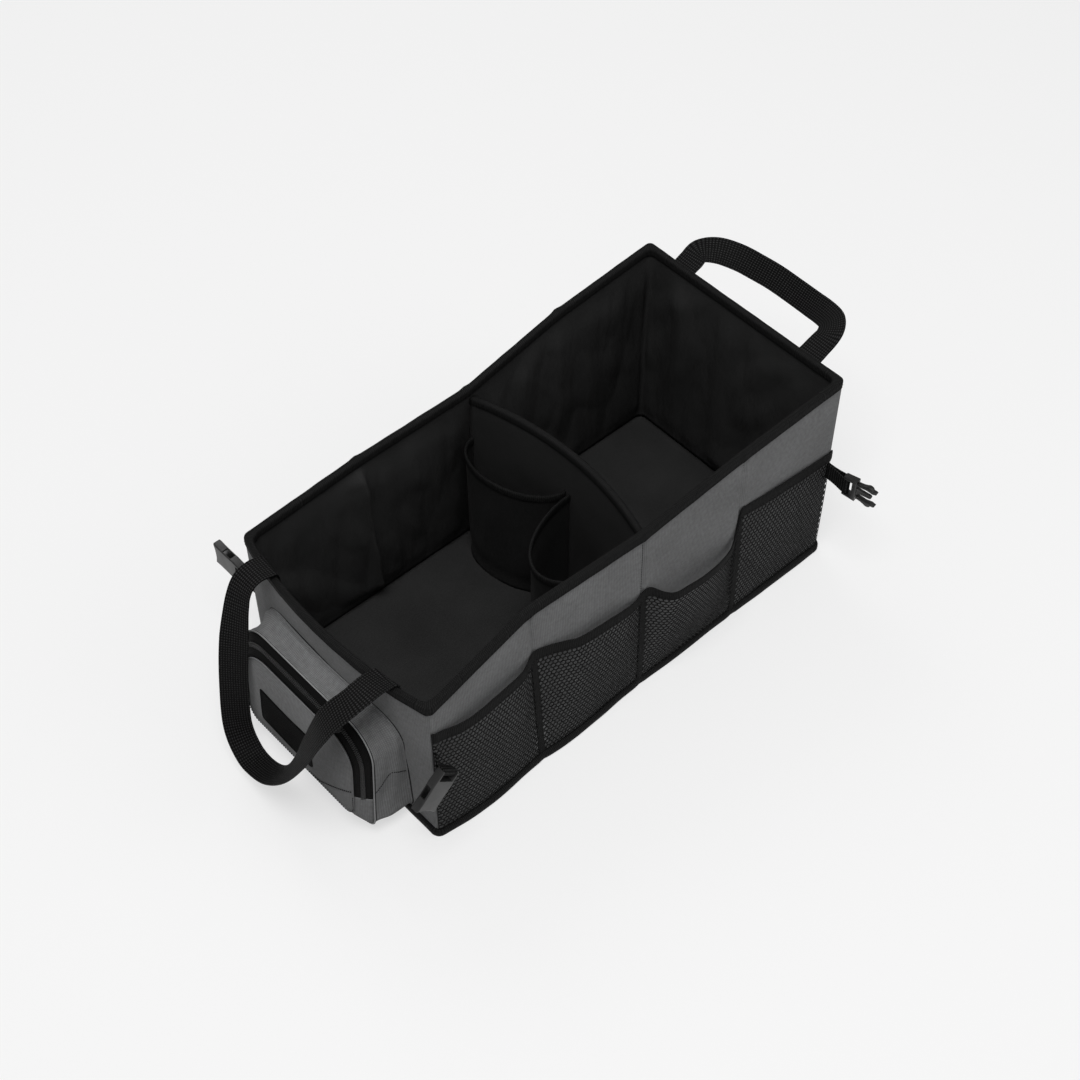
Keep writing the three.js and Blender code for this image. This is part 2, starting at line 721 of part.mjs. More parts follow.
const FRONT_SLOPE = (POCKET_FOOT_DEPTH - POCKET_TOP_DEPTH) / (POCKET_TOP - POCKET_FOOT);
const frontPanelX = (z) => -LENGTH / 2 - POCKET_TOP_DEPTH - (POCKET_TOP - z) * FRONT_SLOPE;

// Half of the pocket's outline from the foot's middle up to the top's middle, as [y, z]
function halfOutline(inset) {
  const half = POCKET_HALF_WIDTH - inset;
  const [foot, top] = [POCKET_FOOT + inset, POCKET_TOP - inset];
  const footRadius = POCKET_FOOT_RADIUS;
  const topRadius = POCKET_TOP_RADIUS;
  const points = [[0, foot], [half / 3, foot]];
  const arcSteps = 4;
  for (let k = 0; k <= arcSteps; k += 1) {
    const turn = -Math.PI / 2 + (k / arcSteps) * (Math.PI / 2);
    const [centreY, centreZ] = [half - footRadius, foot + footRadius];
    points.push([centreY + footRadius * Math.cos(turn), centreZ + footRadius * Math.sin(turn)]);
  }
  points.push([half, ZIP_END - CLEARANCE], [half, ZIP_END]);
  for (let k = 0; k <= arcSteps; k += 1) {
    const turn = (k / arcSteps) * (Math.PI / 2);
    const [centreY, centreZ] = [half - topRadius, top - topRadius];
    points.push([centreY + topRadius * Math.cos(turn), centreZ + topRadius * Math.sin(turn)]);
  }
  points.push([half / 3, top], [0, top]);
  return points;
}

// The whole outline: up the far side, over the top and down the near side
function pocketOutline(inset) {
  const far = halfOutline(inset);
  const near = far.slice(1, -1).toReversed().map(([y, z]) => [-y, z]);
  return [...far, ...near];
}
const OUTLINE_SIZE = pocketOutline(0).length;
const ZIP_FIRST = halfOutline(0).findIndex(([, z]) => z === ZIP_END);
const ZIP_LAST = OUTLINE_SIZE - ZIP_FIRST;

// Share of the way across the sloping band, out from its face by lift
function bandPoint(index, share, lift) {
  const [y0, z0] = pocketOutline(GUSSET_TAPER)[index];
  const [y1, z1] = pocketOutline(GUSSET_TAPER + CHAMFER_INSET)[index];
  const from = new THREE.Vector3(frontPanelX(z0) + CHAMFER_DEPTH, y0, z0);
  const to = new THREE.Vector3(frontPanelX(z1), y1, z1);
  const across = to.clone().sub(from);
  const outward = new THREE.Vector3(0, y0 - y1, z0 - z1).normalize();
  const normal = new THREE.Vector3(-1, 0, 0).multiplyScalar(outward.dot(across) * -1);
  normal.addScaledVector(outward, -across.x).normalize();
  return from.addScaledVector(across, share).addScaledVector(normal, lift);
}

function bandStations(first, count, section) {
  const stations = [];
  for (let k = 0; k < count; k += 1) {
    const index = (first + k) % OUTLINE_SIZE;
    stations.push(section.map(([share, lift]) => bandPoint(index, share, lift)));
  }
  return stations;
}

function addPocketCloth() {
  const wallX = (y, z) => frontWall.point(0.5 + y / WIDTH, z, -2 * CLEARANCE).x;
  const rootOuter = pocketOutline(0);
  const rootInner = pocketOutline(CLOTH);
  const rimOuter = pocketOutline(GUSSET_TAPER);
  const rimInner = pocketOutline(GUSSET_TAPER + CLOTH);
  const gussetStations = rootOuter.map(([y, z], k) => {
    const [innerY, innerZ] = rootInner[k];
    const [rimY, rimZ] = rimOuter[k];
    const [lipY, lipZ] = rimInner[k];
    const rimX = (height) => frontPanelX(height) + CHAMFER_DEPTH + CLEARANCE;
    return [
      new THREE.Vector3(wallX(y, z), y, z),
      new THREE.Vector3(rimX(rimZ), rimY, rimZ),
      new THREE.Vector3(rimX(lipZ), lipY, lipZ),
      new THREE.Vector3(wallX(innerY, innerZ), innerY, innerZ),
    ];
  });
  addPiece('zip_pocket_gusset', sweepSolid(gussetStations), greyCloth);
  const panelInset = GUSSET_TAPER + CHAMFER_INSET + CLEARANCE;
  const outline = new THREE.Shape(pocketOutline(panelInset).map(([y, z]) => new THREE.Vector2(y, z)));
  addPiece('zip_pocket_front', frontPlate(outline, 0, CLOTH), greyCloth);
  const edge = (TAPE + CLEARANCE) / Math.hypot(CHAMFER_DEPTH, CHAMFER_INSET);
  const bandSection = [[edge, 0], [1 - edge, 0], [1 - edge, -TAPE], [edge, -TAPE]];
  const zipCount = ZIP_LAST - ZIP_FIRST + 1;
  const zipStations = bandStations(ZIP_FIRST, zipCount, bandSection);
  addPiece('zip_tape', sweepSolid(zipStations, bandSection), blackTape);
  const lowerStations = bandStations(ZIP_LAST + 1, OUTLINE_SIZE - zipCount, bandSection);
  addPiece('zip_pocket_lower_band', sweepSolid(lowerStations, bandSection), greyCloth);
  const halfChain = CHAIN_WIDTH / 2 / Math.hypot(CHAMFER_DEPTH, CHAMFER_INSET);
  const chainSection = [
    [0.5 - halfChain, CLEARANCE],
    [0.5 + halfChain, CLEARANCE],
    [0.5 + halfChain, CLEARANCE + CHAIN_HEIGHT / 2],
    [0.5, CLEARANCE + CHAIN_HEIGHT],
    [0.5 - halfChain, CLEARANCE + CHAIN_HEIGHT / 2],
  ];
  const chainStations = bandStations(ZIP_FIRST, zipCount, chainSection);
  addPiece('zip_chain', sweepSolid(chainStations, chainSection), blackPlastic);
  const [halfWide, halfTall] = [LABEL_WIDTH / 2 - LABEL_RADIUS, LABEL_HEIGHT / 2 - LABEL_RADIUS];
  const patch = new THREE.Shape();
  for (const [side, lift, start] of [[1, -1, -90], [1, 1, 0], [-1, 1, 90], [-1, -1, 180]]) {
    const [y, z] = [LABEL_CENTRE_Y + side * halfWide, LABEL_CENTRE_Z + lift * halfTall];
    patch.absarc(y, z, LABEL_RADIUS, radians(start), radians(start + 90), false);
  }
  addPiece('label_patch', frontPlate(patch, CLEARANCE + TAPE, TAPE), blackCloth);
}

function plainPlate(outline, depth, curveSegments) {
  return new THREE.ExtrudeGeometry(outline, { depth, bevelEnabled: false, curveSegments });
}

// A plate cut to an outline in [y, z], lying on the front panel's face and standing out by lift
function frontPlate(outline, lift, thickness) {
  const plate = plainPlate(outline, thickness, 4);
  const place = plate.attributes.position;
  for (let i = 0; i < place.count; i += 1) {
    const [y, z, depth] = [place.getX(i), place.getY(i), place.getZ(i)];
    place.setXYZ(i, frontPanelX(z) - lift + depth, y, z);
  }
  return toGeometry(toSolid(plate));
}

// Zip slider: a channelled body over the chain with a bail, and a puller looped on the bail

function addZipSlider() {
  const top = halfOutline(0).length - 1;
  const seat = bandPoint(top, 0.5, 0);
  const slope = bandPoint(top, 1, 0).sub(bandPoint(top, 0, 0)).normalize();
  const travel = new THREE.Vector3(0, 1, 0);
  const lift = new THREE.Vector3().crossVectors(travel, slope);
  const carriage = new THREE.Group();
  carriage.quaternion.setFromRotationMatrix(new THREE.Matrix4().makeBasis(travel, slope, lift));
  carriage.position.set(seat.x, SLIDER_REST_Y, seat.z);
  caddy.add(carriage);

  const half = SLIDER_LENGTH / 2;
  const wide = SLIDER_WIDTH / 2;
  const deck = CLEARANCE + CHAIN_HEIGHT + CLEARANCE;
  const crown = deck + SLIDER_CROWN;
  const plan = new THREE.Shape();
  plan.moveTo(-half, -SLIDER_NOSE * wide).quadraticCurveTo(0, -SLIDER_SWELL * wide, half, -wide);
  plan.lineTo(half, wide).quadraticCurveTo(0, SLIDER_SWELL * wide, -half, SLIDER_NOSE * wide);
  plan.closePath();
  const bodyPlate = plainPlate(plan, crown - CLEARANCE, 5);
  bodyPlate.translate(0, 0, CLEARANCE);
  const channel = CHAIN_WIDTH / 2 + CLEARANCE;
  const cut = solidBlock(-SLIDER_LENGTH, SLIDER_LENGTH, -channel, channel, -1, deck);
  const bailTop = crown + BAIL_GAP + BAIL_CROWN;
  const bailEnd = BAIL_LENGTH / 2;
  const archEnd = bailEnd - BAIL_POST;
  const bailSide = BAIL_WIDTH / 2;
  const arch = solidBlock(-archEnd, archEnd, -BAIL_WIDTH, BAIL_WIDTH, crown, crown + BAIL_GAP);
  const staple = solidBlock(-bailEnd, bailEnd, -bailSide, bailSide, crown - BAIL_ROOT, bailTop);
  const bail = staple.subtract(arch);
  addPiece('zip_slider', toGeometry(toSolid(bodyPlate).subtract(cut).add(bail)), zipMetal, carriage);

  // The puller's eye hangs round the rear post's crown, its plate lies back along the chain
  const eyeZ = crown + BAIL_GAP / 2;
  const eye = BAIL_WIDTH / 2 + 2 * CLEARANCE;
  const inner = archEnd - 2 * CLEARANCE;
  const tip = inner - PULLER_RIM - PULLER_LENGTH;
  const tab = new THREE.Shape();
  const wideEnd = PULLER_WIDTH / 2;
  tab.moveTo(inner, -wideEnd).lineTo(inner, wideEnd).lineTo(tip + wideEnd, wideEnd);
  tab.absarc(tip + wideEnd, 0, wideEnd, Math.PI / 2, Math.PI * 1.5, false);
  tab.closePath();
  const window = new THREE.Path();
  const back = -bailEnd - 4 * CLEARANCE;
  const front = inner - PULLER_RIM;
  window.moveTo(front, -eye).lineTo(back, -eye).lineTo(back, eye).lineTo(front, eye).closePath();
  tab.holes.push(window);
  const puller = plainPlate(tab, PULLER_THICKNESS, 6);
  puller.translate(0, 0, eyeZ - PULLER_THICKNESS / 2);
  addPiece('zip_puller', toGeometry(toSolid(puller)), zipMetal, carriage);
}

// Webbing along a route of [x, y, z, turn]. Its width lies in the plane of the end wall,
// turned out from it by turn degrees.
function webbingSolid(route, width, thickness, steps) {
  const curve = new THREE.CatmullRomCurve3(route.map(([x, y, z]) => new THREE.Vector3(x, y, z)));
  const turns = route.map(([, , , turn], k) => [k / (route.length - 1), turn]);
  const section = [[-1, -1], [1, -1], [1, 1], [-1, 1]];
  const outward = new THREE.Vector3(-1, 0, 0);
  const stations = [];
  for (let k = 0; k <= steps; k += 1) {
    const share = k / steps;
    const centre = curve.getPoint(share);
    const tangent = curve.getTangent(share);
    const turn = radians(along(turns, share));
    const across = new THREE.Vector3().crossVectors(tangent, outward).normalize();
    across.multiplyScalar(Math.cos(turn)).addScaledVector(outward, Math.sin(turn));
    across.addScaledVector(tangent, -across.dot(tangent)).normalize();
    const normal = new THREE.Vector3().crossVectors(tangent, across);
    stations.push(section.map(([a, b]) => (
      centre.clone().addScaledVector(across, (a * width) / 2).addScaledVector(normal, (b * thickness) / 2)
    )));
  }
  return sweepSolid(stations, section);
}

// Handles: each root lies just outside the rim binding. The front one stands up on two sewn stubs
// and folds over at their heads; the rear one swings on its roots.

const rootDrop = BINDING_DROP / 2;
const rootLift = CLEARANCE + TAPE + CLEARANCE + WEBBING / 2;
const frontRootInner = 0.5 + (HANDLE_ROOT_Y - HANDLE_WIDTH / 2) / WIDTH;
const frontRoot = frontWall.point(frontRootInner, FRONT_HEIGHT - rootDrop, -rootLift);
const frontFold = new THREE.Vector3(-FRONT_STUB_REACH, 0, FRONT_STUB_RISE).add(frontRoot);
const rearRoot = rearWall.point(0.5, REAR_HEIGHT - rootDrop, -rootLift);

function addHandles() {
  const route = (shares, root, reach, rise) => shares.map(([out, across, up, turn]) => (
    [root.x + out * reach, across * HANDLE_ROOT_Y, root.z + up * rise, turn]
  ));
  const front = route(FRONT_ROUTE, frontFold, -FRONT_HANDLE_REACH, -FRONT_HANDLE_DROP);
  addPiece('front_handle', webbingSolid(front, HANDLE_WIDTH, WEBBING, HANDLE_STEPS), webbing);
  const rear = route(REAR_ROUTE, rearRoot, REAR_HANDLE_REACH, REAR_HANDLE_RISE);
  addPiece('rear_handle', webbingSolid(rear, HANDLE_WIDTH, WEBBING, HANDLE_STEPS), webbing);
  const short = 1 - (WEBBING / 2 + CLEARANCE) / Math.hypot(FRONT_STUB_REACH, FRONT_STUB_RISE);
  for (const [name, side] of [['near', -1], ['far', 1]]) {
    const stub = [0, short / 2, short].map((share) => {
      const place = frontRoot.clone().lerp(frontFold, share);
      return [place.x, side * HANDLE_ROOT_Y, place.z, 0];
    });
    addPiece(`front_handle_${name}_stub`, webbingSolid(stub, HANDLE_WIDTH, WEBBING, 2), webbing);
  }
}

// Buckle halves, in their own frame: the bar at the origin along y, x out to the tip,
// z through the thickness

const halfWide = BUCKLE_WIDTH / 2;
const halfThick = BUCKLE_THICKNESS / 2;
const slotHalf = halfWide - CHEEK_WIDTH;
const barBack = -BAR_RADIUS - BAR_LIP;
const waist = BUCKLE_WAIST * halfWide;

function platedOutline(outline, thickness) {
  const plate = new THREE.ExtrudeGeometry(outline, {
    depth: thickness - 2 * BUCKLE_BEVEL,
    bevelEnabled: true,
    bevelThickness: BUCKLE_BEVEL,
    bevelSize: BUCKLE_BEVEL,
    bevelOffset: -BUCKLE_BEVEL,
    bevelSegments: 1,
    curveSegments: 4,
  });
  plate.translate(0, 0, BUCKLE_BEVEL - thickness / 2);
  return toSolid(plate);
}

// Cheeks, webbing slot and round bar, cut from and joined to a plate
function withBar(plate) {
  const slotEnd = BAR_RADIUS + SLOT_LENGTH;
  const slot = solidBlock(barBack - 1, slotEnd, -slotHalf, slotHalf, -BUCKLE_THICKNESS, BUCKLE_THICKNESS);
  const barLength = 2 * slotHalf + CHEEK_WIDTH;
  const bar = toSolid(new THREE.CylinderGeometry(BAR_RADIUS, BAR_RADIUS, barLength, 12));
  return plate.subtract(slot).add(bar);
}

function femaleBuckle() {
  const waistAt = WAIST_PLACE * FEMALE_LENGTH;
  const outline = new THREE.Shape();
  outline.moveTo(barBack, -waist).lineTo(SOCKET_START, -halfWide);
  outline.quadraticCurveTo(waistAt, -waist, FEMALE_LENGTH, -halfWide);
  outline.quadraticCurveTo(FEMALE_LENGTH - MOUTH_HOLLOW, 0, FEMALE_LENGTH, halfWide);
  outline.quadraticCurveTo(waistAt, waist, SOCKET_START, halfWide);
  outline.lineTo(barBack, waist).closePath();
  const past = FEMALE_LENGTH + 1;
  const [mouthY, mouthZ] = [slotHalf + SOCKET_RELIEF, halfThick - SOCKET_WALL];
  const socket = solidBlock(SOCKET_START, past, -mouthY, mouthY, -mouthZ, mouthZ);
  const windows = solidBlock(WINDOW_START, WINDOW_END, -BUCKLE_WIDTH, BUCKLE_WIDTH, -mouthZ, mouthZ);
  return toGeometry(withBar(platedOutline(outline, BUCKLE_THICKNESS)).subtract(socket).subtract(windows));
}

function maleBuckle() {
  const outline = new THREE.Shape();
  outline.moveTo(barBack, -waist).lineTo(MALE_SHOULDER, -halfWide);
  outline.lineTo(MALE_SHOULDER, halfWide).lineTo(barBack, waist).closePath();
  const prong = new THREE.Shape();
  const [root, tip] = [MALE_SHOULDER - PRONG_ROOT, MALE_SHOULDER + PRONG_LENGTH];
  const half = PRONG_WIDTH / 2;
  const nose = PRONG_TAPER * half;
  prong.moveTo(root, -half).lineTo(tip - half, -nose);
  prong.quadraticCurveTo(tip, -nose, tip, 0).quadraticCurveTo(tip, nose, tip - half, nose);
  prong.lineTo(root, half).closePath();
  const frame = withBar(platedOutline(outline, BUCKLE_THICKNESS));
  return toGeometry(frame.add(platedOutline(prong, ARM_THICKNESS)));
}

// A spring arm: thin root, swollen thumb pad and hooked tip; side is -1 or +1 across the width
function springArm(side) {
  const root = MALE_SHOULDER + CLEARANCE;
  const tip = root + ARM_LENGTH;
  const inside = halfWide - CHEEK_WIDTH - ARM_WIDTH;
  const outside = inside + ARM_WIDTH;
  const at = (share) => lerp(root, tip, share);
  const arm = new THREE.Shape();
  arm.moveTo(root, inside).lineTo(root, outside);
  arm.quadraticCurveTo(at(ARM_SHARES.neck), outside, at(ARM_SHARES.pad), halfWide);
  arm.quadraticCurveTo(at(ARM_SHARES.swell), halfWide + ARM_SWELL, at(ARM_SHARES.hook), outside);
  arm.quadraticCurveTo(tip, outside, tip, (inside + outside) / 2);
  arm.lineTo(at(ARM_SHARES.hook), inside).lineTo(at(ARM_SHARES.bend), inside + ARM_NECK).closePath();
  const plate = plainPlate(arm, ARM_THICKNESS, 4);
  plate.translate(0, 0, -ARM_THICKNESS / 2);
  const solid = toSolid(plate);
  return toGeometry(side > 0 ? solid : solid.mirror([0, 1, 0]));
}

// A doubled webbing tab from a corner seam, looped round a buckle's bar.
// out is the way it leaves the wall, and the loop is turned by twist about that way.
function tabSolid(start, out, reach, twist) {
  const loop = BAR_RADIUS + CLEARANCE + TAB_THICKNESS / 2;
  const seam = CLEARANCE + TAB_THICKNESS / 2;
  const path = [];
  const legSteps = 4;
  const arcSteps = 8;
  for (let k = 0; k < legSteps; k += 1) {
    path.push([(reach * k) / legSteps, lerp(seam, loop, k / legSteps)]);
  }
  for (let k = 0; k <= arcSteps; k += 1) {
    const turn = Math.PI / 2 - (k / arcSteps) * Math.PI;
    path.push([reach + loop * Math.cos(turn), loop * Math.sin(turn)]);
  }
  for (let k = legSteps - 1; k >= 0; k -= 1) {
    path.push([(reach * k) / legSteps, -lerp(seam, loop, k / legSteps)]);
  }
  const section = [[-1, -1], [1, -1], [1, 1], [-1, 1]];
  const stations = path.map(([far, side], k) => {
    const before = path[Math.max(k - 1, 0)];
    const after = path[Math.min(k + 1, path.length - 1)];
    const normal = new THREE.Vector2(after[1] - before[1], before[0] - after[0]).normalize();
    return section.map(([a, b]) => {
      const reachAt = far + (b * TAB_THICKNESS * normal.x) / 2;
      const sideAt = side + (b * TAB_THICKNESS * normal.y) / 2;
      const turn = twist * THREE.MathUtils.smoothstep(far, 0, 0.75 * reach);
      const spot = new THREE.Vector3(sideAt, out * reachAt, (a * TAB_WIDTH) / 2);
      return spot.applyAxisAngle(new THREE.Vector3(0, 1, 0), turn).add(start);
    });
  });
  return sweepSolid(stations, section);
}

// The four corners: end is -1 front and +1 rear, side is -1 near and +1 far
function addBuckles() {
  const corners = [
    { name: 'near_front', end: -1, side: -1, twist: radians(-NEAR_FRONT_TWIST), folded: true },
    { name: 'far_front', end: -1, side: 1, twist: 0, yaw: 0 },
    { name: 'near_rear', end: 1, side: -1, twist: 0, yaw: radians(MALE_YAW) },
    { name: 'far_rear', end: 1, side: 1, twist: 0, yaw: radians(-MALE_YAW) },
  ];
  for (const { name, end, side, twist, yaw, folded } of corners) {
    const reach = end < 0 ? FEMALE_TAB : MALE_TAB;
    const cornerX = end * (LENGTH / 2 - TAB_INSET);
    const start = new THREE.Vector3(cornerX, side * (WIDTH / 2 + CLEARANCE), TAB_HEIGHT);
    addPiece(`${name}_tab`, tabSolid(start, side, reach, twist), webbing);
    const turned = new THREE.Vector3(0, 1, 0);
    const bar = new THREE.Vector3(0, 0, 1).applyAxisAngle(turned, twist);
    const axis = folded
      ? new THREE.Vector3(-1, 0, 0).applyAxisAngle(turned, twist)
      : new THREE.Vector3(0, side, 0).applyAxisAngle(new THREE.Vector3(0, 0, 1), yaw);
    const through = new THREE.Vector3().crossVectors(axis, bar);
    const half = new THREE.Group();
    half.quaternion.setFromRotationMatrix(new THREE.Matrix4().makeBasis(axis, bar, through));
    half.position.copy(start).add(new THREE.Vector3(0, side * reach, 0));
    caddy.add(half);
    if (end < 0) {
      addPiece(`${name}_female_buckle`, femaleBuckle(), greyPlastic, half);
    } else {
      addPiece(`${name}_male_buckle`, maleBuckle(), blackPlastic, half);
      addPiece(`${name}_lower_arm`, springArm(-1), blackPlastic, half);
      addPiece(`${name}_upper_arm`, springArm(1), blackPlastic, half);
    }
  }
}

addBase();
addWalls();
addEdgeBindings();
addDivider();
addBottlePocket('far_bottle_pocket', FAR_BOTTLE);
addBottlePocket('near_bottle_pocket', NEAR_BOTTLE);
addNetPockets();
addPocketCloth();
addZipSlider();
addHandles();
addBuckles();

export default caddy;
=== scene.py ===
from math import copysign, cos, exp, hypot, pi, radians, sin, sqrt

import bmesh
import bpy
from mathutils import Matrix, Vector, noise


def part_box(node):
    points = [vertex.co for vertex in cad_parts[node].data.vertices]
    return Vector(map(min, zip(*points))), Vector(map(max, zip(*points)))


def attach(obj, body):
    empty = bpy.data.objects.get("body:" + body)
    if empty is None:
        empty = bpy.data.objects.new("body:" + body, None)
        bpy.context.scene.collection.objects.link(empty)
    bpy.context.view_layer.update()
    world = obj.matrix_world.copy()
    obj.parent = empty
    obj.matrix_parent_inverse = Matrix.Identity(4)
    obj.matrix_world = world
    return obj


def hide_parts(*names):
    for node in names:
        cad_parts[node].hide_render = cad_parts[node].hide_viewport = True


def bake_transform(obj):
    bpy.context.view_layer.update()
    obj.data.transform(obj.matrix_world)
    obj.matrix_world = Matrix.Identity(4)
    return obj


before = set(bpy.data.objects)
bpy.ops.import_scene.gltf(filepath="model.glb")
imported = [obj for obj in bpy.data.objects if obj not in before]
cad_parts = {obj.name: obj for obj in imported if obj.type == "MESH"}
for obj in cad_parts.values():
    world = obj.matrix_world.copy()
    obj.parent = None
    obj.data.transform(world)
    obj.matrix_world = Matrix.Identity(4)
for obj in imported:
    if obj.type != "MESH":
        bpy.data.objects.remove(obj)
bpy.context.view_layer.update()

# Box of cloth-covered boards, in millimetres
MM = 0.001
HALF_LENGTH = 265.0
HALF_WIDTH = 135.0
FRONT_RIM = 208.0
REAR_RIM = 257.0
WALL_FOOT = 1.3
WALL_HEAD = 1.2
BOW_FOOT = 6.3
CORNER = 5.0
LINING_CORNER = 14.0
LINING_DEPTH = 4.8
FOLDS = (-132.5, 0.0, 132.5)

# How far each wall's rim bows in, as (share of its length, millimetres)
NEAR_BOW = ((0, 0), (0.25, 17), (0.5, 4), (0.75, 4), (1, 0))
FAR_BOW = ((0, 0), (0.25, 2.4), (0.5, 12), (0.75, 0), (1, 0))
FRONT_BOW = ((0, 0), (0.13, -8.5), (0.3, -14.62), (0.5, -17), (0.7, -14.62), (0.87, -8.5), (1, 0))
# Share of a long wall's length over which each bend at a fold is softened
FOLD_BLUR = 0.008
# How far the near side's foot spreads, as (place along it, millimetres)
NEAR_SPREAD = (
    (-265, 0), (-250, 2.2), (-230, 4.4), (-205, 5.4), (-180, 4.2), (-150, 1.8), (-132.5, 0.9),
    (-110, 2.6), (-85, 3.0), (-60, 2.0), (-35, 0.3), (0, -0.9), (45, -0.3), (110, -0.9), (170, -0.2),
    (265, 0),
)

EAST = Vector((1, 0, 0))
NORTH = Vector((0, 1, 0))
LONG_WALLS = ("near", "far")
# Each wall's run, its outward direction, half its run and its distance from the middle
WALLS = {
    "near": (EAST, -NORTH, HALF_LENGTH, HALF_WIDTH),
    "rear": (NORTH, EAST, HALF_WIDTH, HALF_LENGTH),
    "far": (-EAST, NORTH, HALF_LENGTH, HALF_WIDTH),
    "front": (-NORTH, -EAST, HALF_WIDTH, HALF_LENGTH),
}


def lerp(a, b, share):
    return a + (b - a) * share


def unit(share):
    return min(max(share, 0.0), 1.0)


def ease(share):
    share = unit(share)
    return share * share * (3 - 2 * share)


def straight(knots, place):
    for (place_0, value_0), (place_1, value_1) in zip(knots, knots[1:]):
        if place <= place_1:
            return lerp(value_0, value_1, max(0.0, (place - place_0) / (place_1 - place_0)))
    return knots[-1][1]


def rounded(knots, place):
    """A smooth line through the knots."""
    last = len(knots) - 1
    for k in range(last):
        if place <= knots[k + 1][0] or k == last - 1:
            break
    here, there = knots[k], knots[k + 1]
    before, after = knots[max(k - 1, 0)], knots[min(k + 2, last)]
    span = there[0] - here[0]
    share = unit((place - here[0]) / span)
    slope_in = (there[1] - before[1]) / max(there[0] - before[0], 1e-6) * span
    slope_out = (after[1] - here[1]) / max(after[0] - here[0], 1e-6) * span
    square, cube = share * share, share * share * share
    return (
        here[1] * (2 * cube - 3 * square + 1)
        + slope_in * (cube - 2 * square + share)
        + there[1] * (3 * square - 2 * cube)
        + slope_out * (cube - square)
    )


def bell(distance, width):
    return exp(-((distance / width) ** 2))


def rumple(x, y, z=0.0):
    return noise.noise(Vector((x, y, z)))


# Box shape

def rim_at(x):
    return lerp(FRONT_RIM, REAR_RIM, (x + HALF_LENGTH) / (2 * HALF_LENGTH))


def bow_in(side, x, y):
    if side in LONG_WALLS:
        knots = NEAR_BOW if side == "near" else FAR_BOW
        share = (x + HALF_LENGTH) / (2 * HALF_LENGTH)
        return sum(straight(knots, share + step) for step in (-FOLD_BLUR, 0, FOLD_BLUR)) / 3
    if side == "front":
        return rounded(FRONT_BOW, (y + HALF_WIDTH) / (2 * HALF_WIDTH))
    return 0.0


def foot_spread(side, x, z):
    if side != "near":
        return 0.0
    return rounded(NEAR_SPREAD, x) * (1 - ease(z / 80))


def wall_point(side, s, z, depth=0.0, corner=CORNER):
    """A point on a wall, s along its run, z up it and depth in from its outer face."""
    run, outward, reach, away = WALLS[side]
    flat = reach - corner
    over = abs(s) - flat
    along, across = s, away - depth
    if over > 0:
        turn = over / corner
        along = copysign(flat + (corner - depth) * sin(turn), s)
        across = away - corner + (corner - depth) * cos(turn)
    point = run * along + outward * across
    rise = rim_at(point.x) - BOW_FOOT
    lean = max(0.0, (z - BOW_FOOT) / rise)
    point = point - outward * bow_in(side, point.x, point.y) * lean
    return Vector((point.x, point.y, z))


def run_end(side, corner=CORNER):
    return WALLS[side][2] - corner + corner * pi / 4


def wall_stops(side, steps, corner=CORNER):
    """Places along a wall, close together round its corners."""
    flat = WALLS[side][2] - corner
    turn = corner * pi / 4
    stops = [-flat - turn * (1 - k / 4) for k in range(4)]
    stops += [lerp(-flat, flat, k / steps) for k in range(steps + 1)]
    stops += [flat + turn * (k + 1) / 4 for k in range(4)]
    return stops


def ring_stops(long_steps, short_steps, corner=CORNER):
    """Places all the way round the box, as (wall, place)."""
    stops = []
    for side in WALLS:
        steps = long_steps if side in LONG_WALLS else short_steps
        stops += [(side, s) for s in wall_stops(side, steps, corner)[:-1]]
    return stops


# Finishes

def fill(tree, node, inputs):
    """Sets a shader node's inputs, each to a value or to another node's output."""
    for key, value in inputs.items():
        if isinstance(value, bpy.types.NodeSocket):
            tree.links.new(value, node.inputs[key])
        else:
            node.inputs[key].default_value = value


def add_node(tree, kind, inputs, output=0, **settings):
    node = tree.nodes.new(f"ShaderNode{kind}")
    for name, value in settings.items():
        setattr(node, name, value)
    fill(tree, node, inputs)
    return node.outputs[output]


def finish_of(name, sheen=0.0, specular=0.5):
    material = bpy.data.materials.new(name)
    material.use_nodes = True
    tree = material.node_tree
    shader = tree.nodes["Principled BSDF"]
    fill(tree, shader, {"Specular IOR Level": specular, "Sheen Weight": sheen, "Sheen Roughness": 0.5})
    return material, tree, shader


def ribs(tree, place, direction, pitch, wander):
    """Parallel ridges, pitch metres apart; a wave texture turns by 20 radians in each unit."""
    inputs = {"Vector": place, "Scale": 2 * pi / 20 / pitch, "Distortion": wander, "Detail": 1.0}
    return add_node(tree, "TexWave", inputs, "Fac", wave_type="BANDS", bands_direction=direction)


def mottle(tree, place, size, detail):
    """Soft unevenness, size metres across."""
    return add_node(tree, "TexNoise", {"Vector": place, "Scale": 1.0 / size, "Detail": detail}, "Fac")


def sums(tree, operation, first, second):
    return add_node(tree, "Math", {0: first, 1: second}, operation=operation)


def weighted(tree, first, first_share, second, second_share):
    parts = [sums(tree, "MULTIPLY", first, first_share), sums(tree, "MULTIPLY", second, second_share)]
    return sums(tree, "ADD", *parts)


def surface(tree, shader, amount, tones, patchy, roughness, height, depth, strength):
    """Gives a finish its colour between two tones, its roughness and its relief."""
    dark, light = [(*tone, 1) for tone in tones]
    colour = add_node(tree, "Mix", {0: amount, 6: dark, 7: light}, 2, data_type="RGBA")
    low, high = roughness
    rough = add_node(tree, "MapRange", {"Value": patchy, "To Min": low, "To Max": high}, "Result")
    bump = add_node(tree, "Bump", {"Strength": strength, "Distance": depth, "Height": height}, "Normal")
    fill(tree, shader, {"Base Color": colour, "Roughness": rough, "Normal": bump})


def grey(level, warmth=0.0):
    return (level * (1 + warmth), level, level * (1 - warmth))


